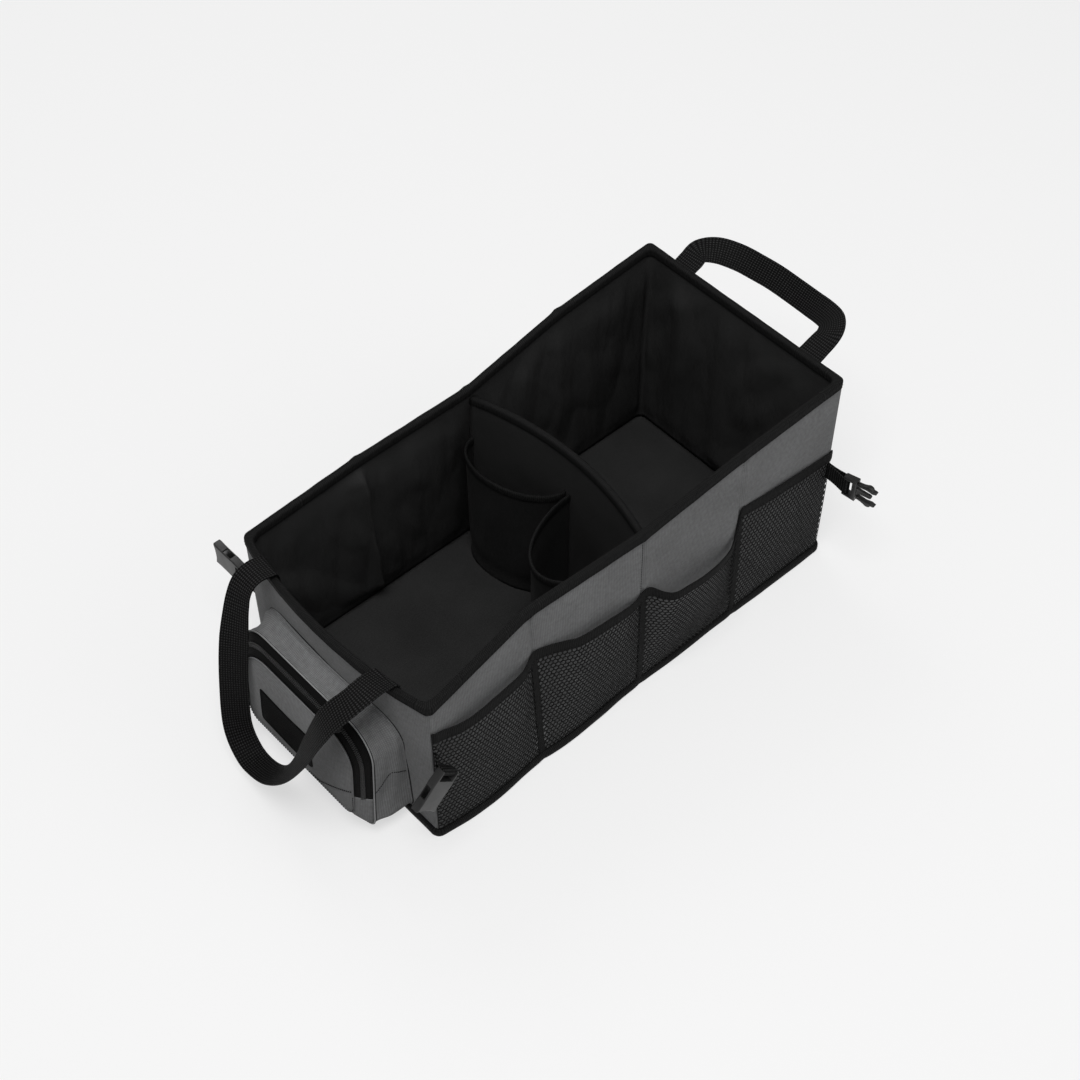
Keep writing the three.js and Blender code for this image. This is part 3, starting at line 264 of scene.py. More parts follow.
def woven_cloth(name, dark, light, pitch, roughness, sheen, slub, specular):
    """Plain-woven cloth: warp and weft threads, uneven yarn and faint cloudiness."""
    material, tree, shader = finish_of(name, sheen, specular)
    place = add_node(tree, "TexCoord", {}, "UV")
    weft = ribs(tree, place, "X", pitch, slub)
    warp = ribs(tree, place, "Y", pitch * 0.8, slub)
    threads = sums(tree, "MULTIPLY", weft, warp)
    yarn = mottle(tree, place, pitch * 2.4, 2.0)
    cloud = mottle(tree, place, 0.055, 3.0)
    uneven = sums(tree, "SUBTRACT", weighted(tree, yarn, 0.7, cloud, 0.45), 0.3)
    amount = sums(tree, "ADD", sums(tree, "MULTIPLY", threads, 0.6), uneven)
    height = sums(tree, "ADD", threads, sums(tree, "MULTIPLY", yarn, 0.5))
    surface(tree, shader, amount, (dark, light), yarn, roughness, height, pitch * 0.22, 0.7)
    return material


def ribbed_tape(name, dark, light, pitch, roughness, along=False, fine=0.55, specular=0.05, crossed=False):
    """Woven tape: ribs across it or along it, and finer threads the other way."""
    material, tree, shader = finish_of(name, 0.0, specular)
    place = add_node(tree, "TexCoord", {}, "UV")
    first, second = ("Y", "X") if along else ("X", "Y")
    rib = ribs(tree, place, first, pitch, 0.3)
    thread = ribs(tree, place, second, pitch * fine, 0.4)
    yarn = mottle(tree, place, 0.004, 2.0)
    if crossed:
        weave = sums(tree, "MULTIPLY", rib, thread)
    else:
        weave = weighted(tree, rib, 0.7, thread, 0.3)
    amount = sums(tree, "MULTIPLY", weave, sums(tree, "ADD", yarn, 0.4))
    surface(tree, shader, amount, (dark, light), yarn, roughness, weave, pitch * 0.25, 0.9)
    return material


def moulded_plastic(name, dark, light, roughness):
    """Fine-grained moulding with slightly polished patches."""
    material, tree, shader = finish_of(name)
    place = add_node(tree, "TexCoord", {}, "Object")
    grain = mottle(tree, place, 0.0006, 2.0)
    patch = mottle(tree, place, 0.012, 2.0)
    surface(tree, shader, patch, (dark, light), patch, roughness, grain, 0.00006, 0.5)
    return material


# Each finish: its dark and light tones, the pitch of its threads in metres and its range of roughness;
# woven cloth also has its sheen, the unevenness of its threads and its gloss
grey_canvas = woven_cloth("grey_canvas", grey(0.1), grey(0.25, -0.015), 0.0019, (0.72, 0.9), 0.1, 0.5, 0.15)
# A paler copy of the grey canvas for the rim piping; its lighter tone is a painted highlight along the cord
canvas_painted_highlight = woven_cloth("canvas_painted_highlight", grey(0.2), grey(0.36, -0.015), 0.0009, (0.6, 0.8), 0.12, 0.5, 0.25)
black_lining = woven_cloth("black_lining", grey(0.013), grey(0.045), 0.0006, (0.42, 0.55), 0.0, 0.2, 0.05)
black_cloth = woven_cloth("black_cloth", grey(0.006), grey(0.02), 0.0012, (0.66, 0.84), 0.02, 0.5, 0.05)
patch_cloth = woven_cloth("patch_cloth", grey(0.002), grey(0.006), 0.0012, (0.6, 0.75), 0.0, 0.2, 0.03)
edge_tape = ribbed_tape("edge_tape", grey(0.003), grey(0.02), 0.0019, (0.6, 0.8))
strap_webbing = ribbed_tape(
    "strap_webbing", grey(0.002), grey(0.04), 0.003, (0.55, 0.75), fine=0.8, specular=0.06, crossed=True
)
net_yarn = ribbed_tape("net_yarn", grey(0.003), grey(0.011), 0.0008, (0.5, 0.7))
zip_cloth = ribbed_tape("zip_cloth", grey(0.002), grey(0.01), 0.0014, (0.6, 0.8), along=True)
black_thread = ribbed_tape("black_thread", grey(0.002), grey(0.012), 0.0005, (0.5, 0.7))
grey_moulding = moulded_plastic("grey_moulding", grey(0.009), grey(0.019), (0.34, 0.5))
black_moulding = moulded_plastic("black_moulding", grey(0.004), grey(0.009), (0.3, 0.45))
zip_nylon = moulded_plastic("zip_nylon", grey(0.01), grey(0.03), (0.25, 0.4))
painted_zinc = moulded_plastic("painted_zinc", grey(0.01), grey(0.02), (0.28, 0.4))
board_fibre = moulded_plastic("board_fibre", grey(0.03, 0.04), grey(0.06, 0.06), (0.75, 0.9))


# Studio

# The camera fitted to the photo: its lens and sensor in millimetres, its place in metres
LENS, SENSOR = 63.89, 36.0
CAMERA_PLACE = Vector((-0.83516, -0.90848, 1.58532))
CAMERA_RIGHT = Vector((0.74085, -0.67167, 0.0))
CAMERA_FORWARD = Vector((0.43044, 0.47477, -0.76767))
# Light from all round, the backdrop as the camera sees it, the floor's paper and its own glow
ROOM_LIGHT, BACKDROP, PAPER, PAPER_GLOW = 0.36, 0.888, 0.3, 0.61
FLOOR_RADIUS, FLOOR_DROP = 9.0, 0.0003
# Each lamp's place, size and power
LAMPS = {
    "key_panel": ((-0.9, -0.7, 3.2), 1.5, 62.0),
    "fill_panel": ((1.5, -2.1, 1.9), 2.0, 15.0),
    "back_panel": ((0.6, 2.3, 2.6), 1.8, 18.0),
}
LAMP_AIM = Vector((0, 0, 0.1))


def placed(name, data):
    obj = bpy.data.objects.new(name, data)
    bpy.context.scene.collection.objects.link(obj)
    return obj


def mesh_data(name, mesh):
    data = bpy.data.meshes.new(name)
    mesh.to_mesh(data)
    mesh.free()
    return data


def studio():
    scene = bpy.context.scene
    scene.view_settings.view_transform = "Standard"
    data = bpy.data.cameras.new("camera")
    data.lens, data.sensor_width = LENS, SENSOR
    scene.camera = placed("camera", data)
    up = CAMERA_RIGHT.cross(CAMERA_FORWARD)
    turn = Matrix((CAMERA_RIGHT, up, -CAMERA_FORWARD)).transposed().to_4x4()
    scene.camera.matrix_world = Matrix.Translation(CAMERA_PLACE) @ turn

    world = bpy.data.worlds.new("studio")
    world.use_nodes = True
    tree = world.node_tree
    light = tree.nodes["Background"]
    fill(tree, light, {"Color": (1, 1, 1, 1), "Strength": ROOM_LIGHT})
    seen = add_node(tree, "Background", {"Color": (*grey(BACKDROP), 1)})
    direct = add_node(tree, "LightPath", {}, "Is Camera Ray")
    both = add_node(tree, "MixShader", {0: direct, 1: light.outputs[0], 2: seen})
    fill(tree, tree.nodes["World Output"], {"Surface": both})
    scene.world = world

    mesh = bmesh.new()
    bmesh.ops.create_circle(mesh, cap_ends=True, segments=96, radius=FLOOR_RADIUS)
    bmesh.ops.translate(mesh, verts=mesh.verts, vec=(0, 0, -FLOOR_DROP))
    floor_object = placed("floor", mesh_data("floor", mesh))
    paper, tree, matt = finish_of("pale_paper", specular=0.0)
    fill(tree, matt, {"Base Color": (*grey(PAPER), 1), "Roughness": 1.0})
    path = tree.nodes.new("ShaderNodeLightPath").outputs
    shown = sums(tree, "MAXIMUM", path["Is Camera Ray"], path["Is Glossy Ray"])
    glow = add_node(tree, "Emission", {"Color": (*grey(PAPER_GLOW), 1), "Strength": shown})
    both = add_node(tree, "AddShader", {0: matt.outputs[0], 1: glow})
    fill(tree, tree.nodes["Material Output"], {"Surface": both})
    floor_object.data.materials.append(paper)

    for name, (place, size, power) in LAMPS.items():
        lamp = bpy.data.lights.new(name, "AREA")
        lamp.shape, lamp.size, lamp.energy = "DISK", size, power
        holder = placed(name, lamp)
        holder.location = place
        holder.rotation_euler = (LAMP_AIM - Vector(place)).to_track_quat("-Z", "Y").to_euler()


# Making pieces

def add_piece(name, mesh, material, nodes=(), body="caddy", ride=True, thick=0.0, offset=-1.0):
    """A piece of the object; thick, in millimetres, turns an open sheet into cloth."""
    obj = placed(name, mesh_data(name, mesh))
    obj.data.shade_smooth()
    obj.data.materials.append(material)
    if ride:
        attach(obj, body)
    if nodes:
        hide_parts(*nodes)
    if thick:
        wall = obj.modifiers.new("thickness", "SOLIDIFY")
        wall.thickness = thick * MM
        wall.offset = offset
    return obj


def round_edges(obj, width, segments=2, angle=40):
    edge = obj.modifiers.new("round_edges", "BEVEL")
    edge.width = width * MM
    edge.segments = segments
    edge.profile = 0.5
    edge.limit_method = "ANGLE"
    edge.angle_limit = radians(angle)
    edge.harden_normals = True


def laid_cloth(columns, rows, place, closed=False):
    """A grid of cloth laid out by place(i, j), with a UV map in metres along and across it."""
    mesh = bmesh.new()
    bmesh.ops.create_grid(mesh, x_segments=columns, y_segments=rows, size=0.5)
    run, section = [0.0], [0.0]
    for i in range(columns):
        step = place(i + 1, rows // 2) - place(i, rows // 2)
        run.append(run[-1] + step.length * MM)
    for j in range(rows):
        step = place(columns // 2, j + 1) - place(columns // 2, j)
        section.append(section[-1] + step.length * MM)
    spots = {}
    for vert in mesh.verts:
        spots[vert] = (round((vert.co.x + 0.5) * columns), round((vert.co.y + 0.5) * rows))
    layer = mesh.loops.layers.uv.new("cloth")
    for face in mesh.faces:
        for loop in face.loops:
            i, j = spots[loop.vert]
            loop[layer].uv = (run[i], section[j])
    for vert, (i, j) in spots.items():
        vert.co = place(i, j) * MM
    if closed:
        bmesh.ops.remove_doubles(mesh, verts=mesh.verts, dist=1e-6)
    return mesh


def thread_bead():
    """One stitch's shape, a small ball that is stretched into place."""
    mesh = bmesh.new()
    bmesh.ops.create_uvsphere(mesh, u_segments=6, v_segments=4, radius=1)
    return mesh_data("bead", mesh)


BEAD = thread_bead()


def add_bead(mesh, place):
    bead = BEAD.copy()
    bead.transform(place)
    mesh.from_mesh(bead)
    bpy.data.meshes.remove(bead)


# Each kind of stitch: its length, the gap to the next, its width and its height
STITCHES = {
    # The fold stitches' dark line also serves as painted shade in the fold grooves
    "fold": (2.6, 0.9, 0.9, 0.7),
    "tape": (2.8, 1.2, 0.6, 0.45),
    "bottle": (2.6, 1.2, 0.55, 0.4),
    "net": (2.6, 1.2, 0.55, 0.45),
    "patch": (2.0, 0.9, 0.5, 0.45),
    "zip": (2.2, 1.0, 0.5, 0.45),
    "foot": (2.4, 0.7, 1.0, 0.9),
    "slant": (2.4, 0.6, 1.2, 1.0),
    "side": (2.0, 0.35, 1.0, 0.9),
    "corner": (1.8, 0.4, 0.7, 0.6),
}


def add_stitches(mesh, run, lift, kind):
    """Thread along run, a list of points, standing out along lift, a direction or one for each place."""
    length, gap, width, height = STITCHES[kind]
    travelled = 0.0
    due = gap
    for here, there in zip(run, run[1:]):
        step = there - here
        if step.length < 1e-6:
            continue
        along = step.normalized()
        while travelled + step.length >= due + length:
            centre = here + along * (due + length / 2 - travelled)
            out = lift(centre) if callable(lift) else lift
            side = out.cross(along).normalized()
            out = along.cross(side)
            basis = Matrix((along, side, out)).transposed().to_4x4()
            size = Matrix.Diagonal((length / 2 * MM, width / 2 * MM, height / 2 * MM, 1))
            spot = Matrix.Translation(centre * MM)
            add_bead(mesh, spot @ basis @ size)
            due += length + gap
        travelled += step.length


def sew(name, rows):
    """A piece of thread in rows of stitches, each row as (run, lift, kind)."""
    thread = bmesh.new()
    for row in rows:
        add_stitches(thread, *row)
    add_piece(name, thread, black_thread)


# Outer cloth

# Each wall's own patch of unevenness
WALL_KEYS = {"near": 3.1, "rear": 7.7, "far": 12.3, "front": 18.9}


def cloth_swell(side, x, y, z):
    """How far the outer cloth stands off its board."""
    rim = rim_at(x)
    ends = ease((rim - 11 - z) / 22) * ease((z - 8) / 20)
    place = x if side in LONG_WALLS else y
    reach = HALF_LENGTH if side in LONG_WALLS else HALF_WIDTH
    ends *= ease((reach - 6 - abs(place)) / 20)
    soft = 0.55 + 0.9 * rumple(place / 52, z / 70, reach)
    soft += 0.35 * rumple(place / 17, z / 45, WALL_KEYS[side])
    swell = ends * max(0.0, soft)
    if side in LONG_WALLS:
        for fold, depth in zip(FOLDS, (2.6, 2.2, 1.4)):
            swell -= depth * bell(place - fold, 1.9) * ease((rim - 9 - z) / 6)
            swell += 0.8 * bell(abs(place - fold) - 5.0, 2.6) * ends
    return swell + max(0.0, foot_spread(side, x, z))


def outer_cloth(side, steps, rows):
    stops = wall_stops(side, steps)
    reach = WALLS[side][2]

    def place(i, j):
        s = stops[i]
        flat = wall_point(side, s, 100.0)
        z = lerp(WALL_FOOT, rim_at(flat.x) - WALL_HEAD, j / rows)
        point = wall_point(side, s, z)
        seam = 0.9 * bell(run_end(side) - abs(s), 1.1)
        out = WALLS[side][1]
        if abs(s) > reach - CORNER:
            turn = copysign((abs(s) - reach + CORNER) / CORNER, s)
            out = out * cos(turn) + WALLS[side][0] * sin(turn)
        return point + out * (cloth_swell(side, point.x, point.y, z) + seam * ease((z - 8) / 6))

    mesh = laid_cloth(len(stops) - 1, rows, place)
    node = f"{side}_side_cloth" if side in LONG_WALLS else f"{side}_end_cloth"
    obj = add_piece(f"{side}_outer_cloth", mesh, grey_canvas, [node], thick=1.0)


def sew_fold_shade_threads():
    """Rows of thread along the folds of the long walls; besides being stitches, their dark line is painted
    shade that deepens the fold grooves.
    """
    for side, sign in (("near", 1), ("far", -1)):
        rows = []
        for fold in FOLDS:
            top = rim_at(fold) - 11
            run = []
            for k in range(61):
                z = lerp(12.0, top, k / 60)
                stand = cloth_swell(side, fold, 0.0, z) + 0.15
                run.append(wall_point(side, sign * fold, z, -stand))
            rows.append((run, WALLS[side][1], "fold"))
        sew(f"{side}_fold_thread_and_shade", rows)


# Rim tape and foot binding

RING_STEPS = (150, 76)
# The tape's section, as (out from the wall's face, up from the rim), and its middle
TAPE_MIDDLE = -2.4
TAPE_SECTION = (
    (0.35, -10.2), (0.95, -9.9), (1.2, -9.0), (1.25, -6.0), (1.3, -3.0), (1.15, -1.2), (0.4, -0.2),
    (-1.0, 0.25), (-2.4, 0.35), (-3.8, 0.25), (-5.2, -0.2), (-5.95, -1.2), (-6.1, -3.0), (-6.05, -6.0),
    (-6.0, -9.0), (-5.75, -9.9), (-5.15, -10.2),
)


def fold_kink(side, x):
    if side not in LONG_WALLS:
        return 0.0
    return sum(bell(x - fold, 4.0) for fold in FOLDS)


def tape_swell(side, base):
    """How much of a fold's kink the rim tape has at a place, and its unevenness there."""
    return fold_kink(side, base.x), 0.3 * rumple(base.x / 21, base.y / 21, 4.0)


def tape_point(side, s, z, out):
    """A point on the rim tape, whose inner half turns the corners as widely as the lining."""
    if out > TAPE_MIDDLE:
        return wall_point(side, s, z, -out)
    s *= run_end(side, LINING_CORNER) / run_end(side)
    return wall_point(side, s, z, -out, LINING_CORNER)


def rim_tape():
    stops = ring_stops(*RING_STEPS)
    count = len(stops)
    rows = len(TAPE_SECTION) - 1

    def place(i, j):
        side, s = stops[i % count]
        out, rise = TAPE_SECTION[j]
        base = wall_point(side, s, 150.0)
        kink, wave = tape_swell(side, base)
        if abs(out) < 5 and rise > -2:
            rise += 0.8 * kink + 0.5 * wave
        out += (0.7 * kink + wave) * (1 if out > TAPE_MIDDLE else -0.4)
        return tape_point(side, s, rim_at(base.x) + rise, out)

    mesh = laid_cloth(count, rows, place, closed=True)
    add_piece("rim_tape", mesh, edge_tape, ["rim_binding"], thick=0.8)

    thread_rows = []
    for out, rise in ((1.3, -7.6), (-6.1, -7.6)):
        run = []
        for side, s in [*stops, stops[0]]:
            base = wall_point(side, s, 150.0)
            kink, wave = tape_swell(side, base)
            away = out + (0.7 * kink + wave) * (1 if out > 0 else -0.4)
            run.append(tape_point(side, s, rim_at(base.x) + rise, away))
        sign = 1 if out > 0 else -1

        def lift(centre, sign=sign):
            return Vector((centre.x / HALF_LENGTH, centre.y / HALF_WIDTH, 0)).normalized() * sign

        thread_rows.append((run, lift, "tape"))
    sew("rim_thread", thread_rows)


def foot_binding():
    stops = ring_stops(*RING_STEPS)
    count = len(stops)
    rows = 16

    def place(i, j):
        side, s = stops[i % count]
        turn = 2 * pi * (j % rows) / rows
        cosine, sine = cos(turn), sin(turn)
        out = 1.85 + 2.35 * copysign(abs(cosine) ** 0.7, cosine)
        z = 5.4 + 5.1 * copysign(abs(sine) ** 0.75, sine)
        base = wall_point(side, s, 2.0)
        wave = rumple(base.x / 30, base.y / 30, 9.0)
        kink = fold_kink(side, base.x)
        out += (0.7 * wave - 0.9 * kink) * (0.5 + 0.5 * cosine) + foot_spread(side, base.x, 0.0)
        z += (0.7 * wave + 1.0 * kink) * (0.5 + 0.5 * sine)
        return wall_point(side, s, z, -out)

    mesh = laid_cloth(count, rows, place, closed=True)
    add_piece("foot_binding", mesh, edge_tape, ["base_binding"])


def underside():
    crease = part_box("base_board_front")[1].x / MM
    columns, rows = 88, 44
    half_long, half_wide = HALF_LENGTH - 0.6, HALF_WIDTH - 0.6

    def place(i, j):
        x = lerp(-half_long, half_long, i / columns)
        y = lerp(half_wide, -half_wide, j / rows)
        edge = ease(min(half_long - abs(x), half_wide - abs(y)) / 12)
        z = 0.1 + 0.5 * bell(x - crease - 2, 3.0) * edge
        z += 0.25 * edge * (1 + rumple(x / 40, y / 40, 2.0)) / 2
        spread = max(0.0, foot_spread("near", x, 0.0)) * ease((-y - 100) / 34)
        return Vector((x, y - spread, z))

    mesh = laid_cloth(columns, rows, place)
    obj = add_piece("underside_cloth", mesh, black_cloth, ["base_cloth"], thick=0.6)


# Lining

DIVIDER_PLACE = 5.0


def lining_pucker(side, x, y, z):
    """How far the lining stands in from the boards, between its sewn edges."""
    rim = rim_at(x)
    ends = ease((rim - 11 - z) / 40) * ease((z - 6) / 26)
    along = x if side in LONG_WALLS else y
    if side in LONG_WALLS:
        ends *= ease((abs(x - DIVIDER_PLACE) - 4) / 26)
    key = WALL_KEYS[side]
    folds = abs(rumple(along / 30, z / 150, key)) * 6.0
    slant = max(0.0, rumple((along + z * 0.55) / 38, (z - along * 0.4) / 90, key + 5)) * 6.5
    fine = 1.3 * abs(rumple(along / 12, z / 50, key + 11))
    pucker = 0.3 + folds + slant + fine
    ridge = 0.0
    if side == "far":
        crease = x + 127 + 0.05 * (z - 110)
        steep = exp(crease / 16) if crease < 0 else exp(-crease / 2.2)
        ridge = 11 * steep * ease((rim - 11 - z) / 16) * ease((z - 6) / 26)
        pucker += 2.4 * bell(crease - 24, 10) + 2.2 * bell(x - 128, 7)
    if side == "near":
        pucker += 2.0 * bell(x + 128, 8)
    if side == "front":
        pucker += 1.8 * bell(y - 52, 9)
    return ends * pucker + ridge


def wall_lining():
    stops = ring_stops(200, 90, LINING_CORNER)
    stops = [stops[0], *reversed(stops[1:])]
    count = len(stops)
    rows = 52
    foot = 5.7

    def place(i, j):
        side, s = stops[i % count]
        base = wall_point(side, s, 100.0, LINING_DEPTH, LINING_CORNER)
        z = lerp(foot, rim_at(base.x) - WALL_HEAD, j / rows)
        depth = LINING_DEPTH + lining_pucker(side, base.x, base.y, z) * ease(
            (WALLS[side][2] - abs(s) + 4) / 22
        )
        return wall_point(side, s, z, depth, LINING_CORNER)

    mesh = laid_cloth(count, rows, place, closed=True)
    obj = add_piece("wall_lining_cloth", mesh, black_lining, ["wall_lining"], thick=0.7)


def floor_lining():
    columns, rows = 110, 56
    half_long, half_wide, hem = 261.4, 131.4, 1.8

    def place(i, j):
        x = lerp(-half_long, half_long, i / columns)
        y = lerp(-half_wide, half_wide, j / rows)
        edge = ease((min(half_long - abs(x), half_wide - abs(y)) - hem) / 25)
        seat = ease((abs(x - DIVIDER_PLACE - 11) - 16) / 20)
        puff = max(0.0, 0.9 + 1.3 * rumple(x / 60, y / 60, 6.0) + 0.5 * rumple(x / 19, y / 19, 1.0))
        return Vector((x, y, 5.4 + edge * seat * puff * 0.8))

    mesh = laid_cloth(columns, rows, place)
    obj = add_piece("floor_lining_cloth", mesh, black_lining, ["floor_lining"], thick=0.7)


# Divider and its two bottle pockets

DIVIDER_TOP = 220.0
DIVIDER_FOOT = 5.7
DIVIDER_RIM = 233.0
DIVIDER_HALF = 129.8
# How far its ends lean in at the rim, and how far its middle bows back
DIVIDER_NEAR_LEAN, DIVIDER_FAR_LEAN, DIVIDER_BOW = 4, 11.55, 22


def divider_ends(z):
    lean = max(0.0, (z - BOW_FOOT) / (DIVIDER_RIM - BOW_FOOT))
    return -(DIVIDER_HALF - DIVIDER_NEAR_LEAN * lean), DIVIDER_HALF - DIVIDER_FAR_LEAN * lean


def divider_mid(y, z):
    near, far = divider_ends(z)
    share = unit((y - near) / (far - near))
    return DIVIDER_PLACE + DIVIDER_BOW * (1 - (2 * share - 1) ** 2)


def divider_cover():
    columns = 60
    side_rows = 26
    rows = 2 * side_rows + 4
    reach, head = 2.5, 218.6

    def place(i, j):
        if j <= side_rows:
            across, z = 1.0, lerp(DIVIDER_FOOT, head - reach, j / side_rows)
        elif j >= side_rows + 4:
            across, z = -1.0, lerp(head - reach, DIVIDER_FOOT, (j - side_rows - 4) / side_rows)
        else:
            turn = pi * (j - side_rows) / 4
            across, z = cos(turn), head - reach + reach * sin(turn)
        near, far = divider_ends(z)
        y = lerp(near, far, i / columns)
        ends = ease((head - 12 - z) / 25) * ease((z - 8) / 25) * ease((min(y - near, far - y) - 3) / 20)
        if across < 0:
            ends *= 0.25
        soft = 0.5 + 1.2 * rumple(y / 38, z / 90, 20 + across) + 0.5 * rumple(y / 13, z / 40, 3.0)
        return Vector((divider_mid(y, z) + across * (reach + ends * max(0.0, soft)), y, z))

    mesh = laid_cloth(columns, rows, place)
    obj = add_piece("divider_cover_cloth", mesh, black_lining, ["divider_cover"], thick=0.6)


def divider_tape():
    columns = 60
    section = (
        (3.0, -10.0), (3.4, -9.4), (3.55, -8.0), (3.55, -3.4), (3.2, -1.4), (1.8, -0.3), (0.0, 0.0),
        (-1.8, -0.3), (-3.2, -1.4), (-3.55, -3.4), (-3.55, -8.0), (-3.4, -9.4), (-3.0, -10.0),
    )

    def place(i, j):
        across, rise = section[j]
        z = DIVIDER_TOP + rise
        near, far = divider_ends(z)
        y = lerp(near, far, i / columns)
        z += 0.5 * rumple(y / 24, 3.0, 1.0) if rise > -2 else 0.0
        return Vector((divider_mid(y, DIVIDER_TOP + rise) + across, y, z))

    mesh = laid_cloth(columns, len(section) - 1, place)
    add_piece("divider_tape", mesh, edge_tape, ["divider_binding"], thick=0.7)
    thread_rows = []
    z = DIVIDER_TOP - 7.4
    for across in (3.55, -3.55):
        run = [Vector((divider_mid(y, z) + across, y, z)) for y in range(-123, 117, 4)]
        thread_rows.append((run, EAST if across > 0 else -EAST, "tape"))
    sew("divider_thread", thread_rows)


# Each pocket's middle across the box, half its width and how far it stands out
BOTTLE_POCKETS = {
    "far": (60.1, 58.2, 40.0),
    "near": (-53.9, 50.1, 85.0),
}
POCKET_HEAD = 162.0


def bottle_plan(which, turn):
    """A pocket's outline seen from above, from its far edge to its near edge."""
    middle, half, bulge = BOTTLE_POCKETS[which]
    y = middle + half * cos(turn)
    sine = max(0.0, sin(turn)) ** 1.15
    return Vector((divider_mid(y, POCKET_HEAD) - 3.0 - bulge * sine, y, 0))


def bottle_point(which, share, z, lift):
    turn = pi * min(max(share, 0.004), 0.996)
    here = bottle_plan(which, turn)
    step = bottle_plan(which, turn + 0.01) - bottle_plan(which, turn - 0.01)
    out = Vector((step.y, -step.x, 0)).normalized()
    point = here + out * lift
    return Vector((point.x, point.y, z))


def bottle_soft(which, share, z):
    side = sin(pi * unit(share))
    low = ease((z - 6) / 30) * ease((POCKET_HEAD - 4 - z) / 60)
    key = 31.0 if which == "far" else 47.0
    folds = 2.6 * rumple(share * 7, z / 120, key) + 1.1 * rumple(share * 17, z / 70, key + 3)
    tuck = -3.0 * bell(z - 18, 14)
    flare = 1.6 * ease((z - 120) / 42)
    return side ** 0.6 * (folds * low + tuck + flare)


def bottle_pocket(which):
    columns, rows = 72, 40

    def place(i, j):
        share = i / columns
        z = lerp(DIVIDER_FOOT, POCKET_HEAD - 1.2, j / rows)
        return bottle_point(which, share, z, bottle_soft(which, share, z))

    mesh = laid_cloth(columns, rows, place)
    node = f"{which}_bottle_pocket"
    obj = add_piece(f"{which}_bottle_pocket_cloth", mesh, black_cloth, [node], thick=1.0)

    section = (
        (0.3, -9.2), (0.8, -8.8), (1.0, -7.6), (1.0, -2.6), (0.8, -0.9), (0.1, 0.05), (-0.6, 0.3),
        (-1.3, 0.05), (-2.0, -0.9), (-2.2, -2.6), (-2.2, -7.6), (-2.0, -8.8), (-1.4, -9.2),
    )

    def tape_place(i, j):
        share = i / columns
        lift, rise = section[j]
        z = POCKET_HEAD + rise
        return bottle_point(which, share, z, bottle_soft(which, share, z) + lift)

    mesh = laid_cloth(columns, len(section) - 1, tape_place)
    node = f"{which}_bottle_pocket_binding"
    add_piece(f"{which}_bottle_pocket_tape", mesh, edge_tape, [node], thick=0.7)
    run = []
    for k in range(2, 59):
        share = k / 60
        z = POCKET_HEAD - 6.8
        run.append(bottle_point(which, share, z, bottle_soft(which, share, z) + 1.05))
    middle = BOTTLE_POCKETS[which][0]

    def lift(centre):
        return Vector((centre.x - 14, centre.y - middle, 0)).normalized()

    sew(f"{which}_bottle_pocket_thread", [(run, lift, "bottle")])


# Net pockets along the near side

NET_FOOT = 9.3
NET_ENDS = 263.4
NET_WIDTH = 132.5
# The least that the nets stand out, and the share of their area that is yarn
NET_STAND, NET_SHARE = 1.4, 0.57
# Height of the nets' mouths and how far they stand out, as (place along the wall, millimetres)
MOUTH_HEIGHT = (
    (-265, 170), (-250, 165), (-235, 162), (-215, 161.5), (-195, 162.5), (-175, 162.5), (-155, 160),
    (-145, 158), (-132.5, 162), (-115, 160), (-100, 157), (-85, 153.5), (-50, 153), (-33, 151),
    (-20, 148.5), (-10, 146.5), (0, 149), (8, 150), (20, 140), (30, 136.5), (45, 137), (63, 136),
    (80, 135), (92, 133.5), (105, 130), (116, 127), (123, 130), (128, 146), (132.5, 165), (140, 166),
    (165, 164), (199, 162), (230, 159), (265, 155.5),
)
MOUTH_OUT = (
    (-265, 1.5), (-250, 3), (-235, 7), (-215, 10), (-195, 11), (-175, 11), (-155, 9), (-145, 5),
    (-132.5, 1.6), (-115, 3), (-100, 6), (-85, 9), (-66, 10), (-50, 10), (-33, 9), (-20, 7), (-10, 4),
    (0, 1.8), (8, 3.2), (20, 10.5), (30, 16.5), (45, 19), (63, 20), (80, 19), (92, 17), (105, 13),
    (116, 8), (123, 4.5), (128, 2.4), (132.5, 1.6), (165, 2.5), (199, 3), (230, 2.5), (265, 1.5),
)


def net_point(x, share, lift=0.0):
    """A point on the nets, share of the way from the foot to the mouth, standing out by lift."""
    mouth = rounded(MOUTH_HEIGHT, x)
    z = lerp(NET_FOOT, mouth, share)
    out = max(NET_STAND, rounded(MOUTH_OUT, x))
    pocket = (x + HALF_LENGTH) / NET_WIDTH % 1.0
    belly = max(0.0, sin(pi * pocket)) ** 0.8
    bulge = max(0.0, sin(pi * unit(share)))
    stand = NET_STAND + (out - NET_STAND) * max(0.0, share) ** 0.9
    stand += belly * bulge * (4.5 + 1.2 * rumple(x / 26, z / 40, 15.0))
    stand += max(0.0, foot_spread("near", x, z))
    return wall_point("near", x, z, -(stand + lift))


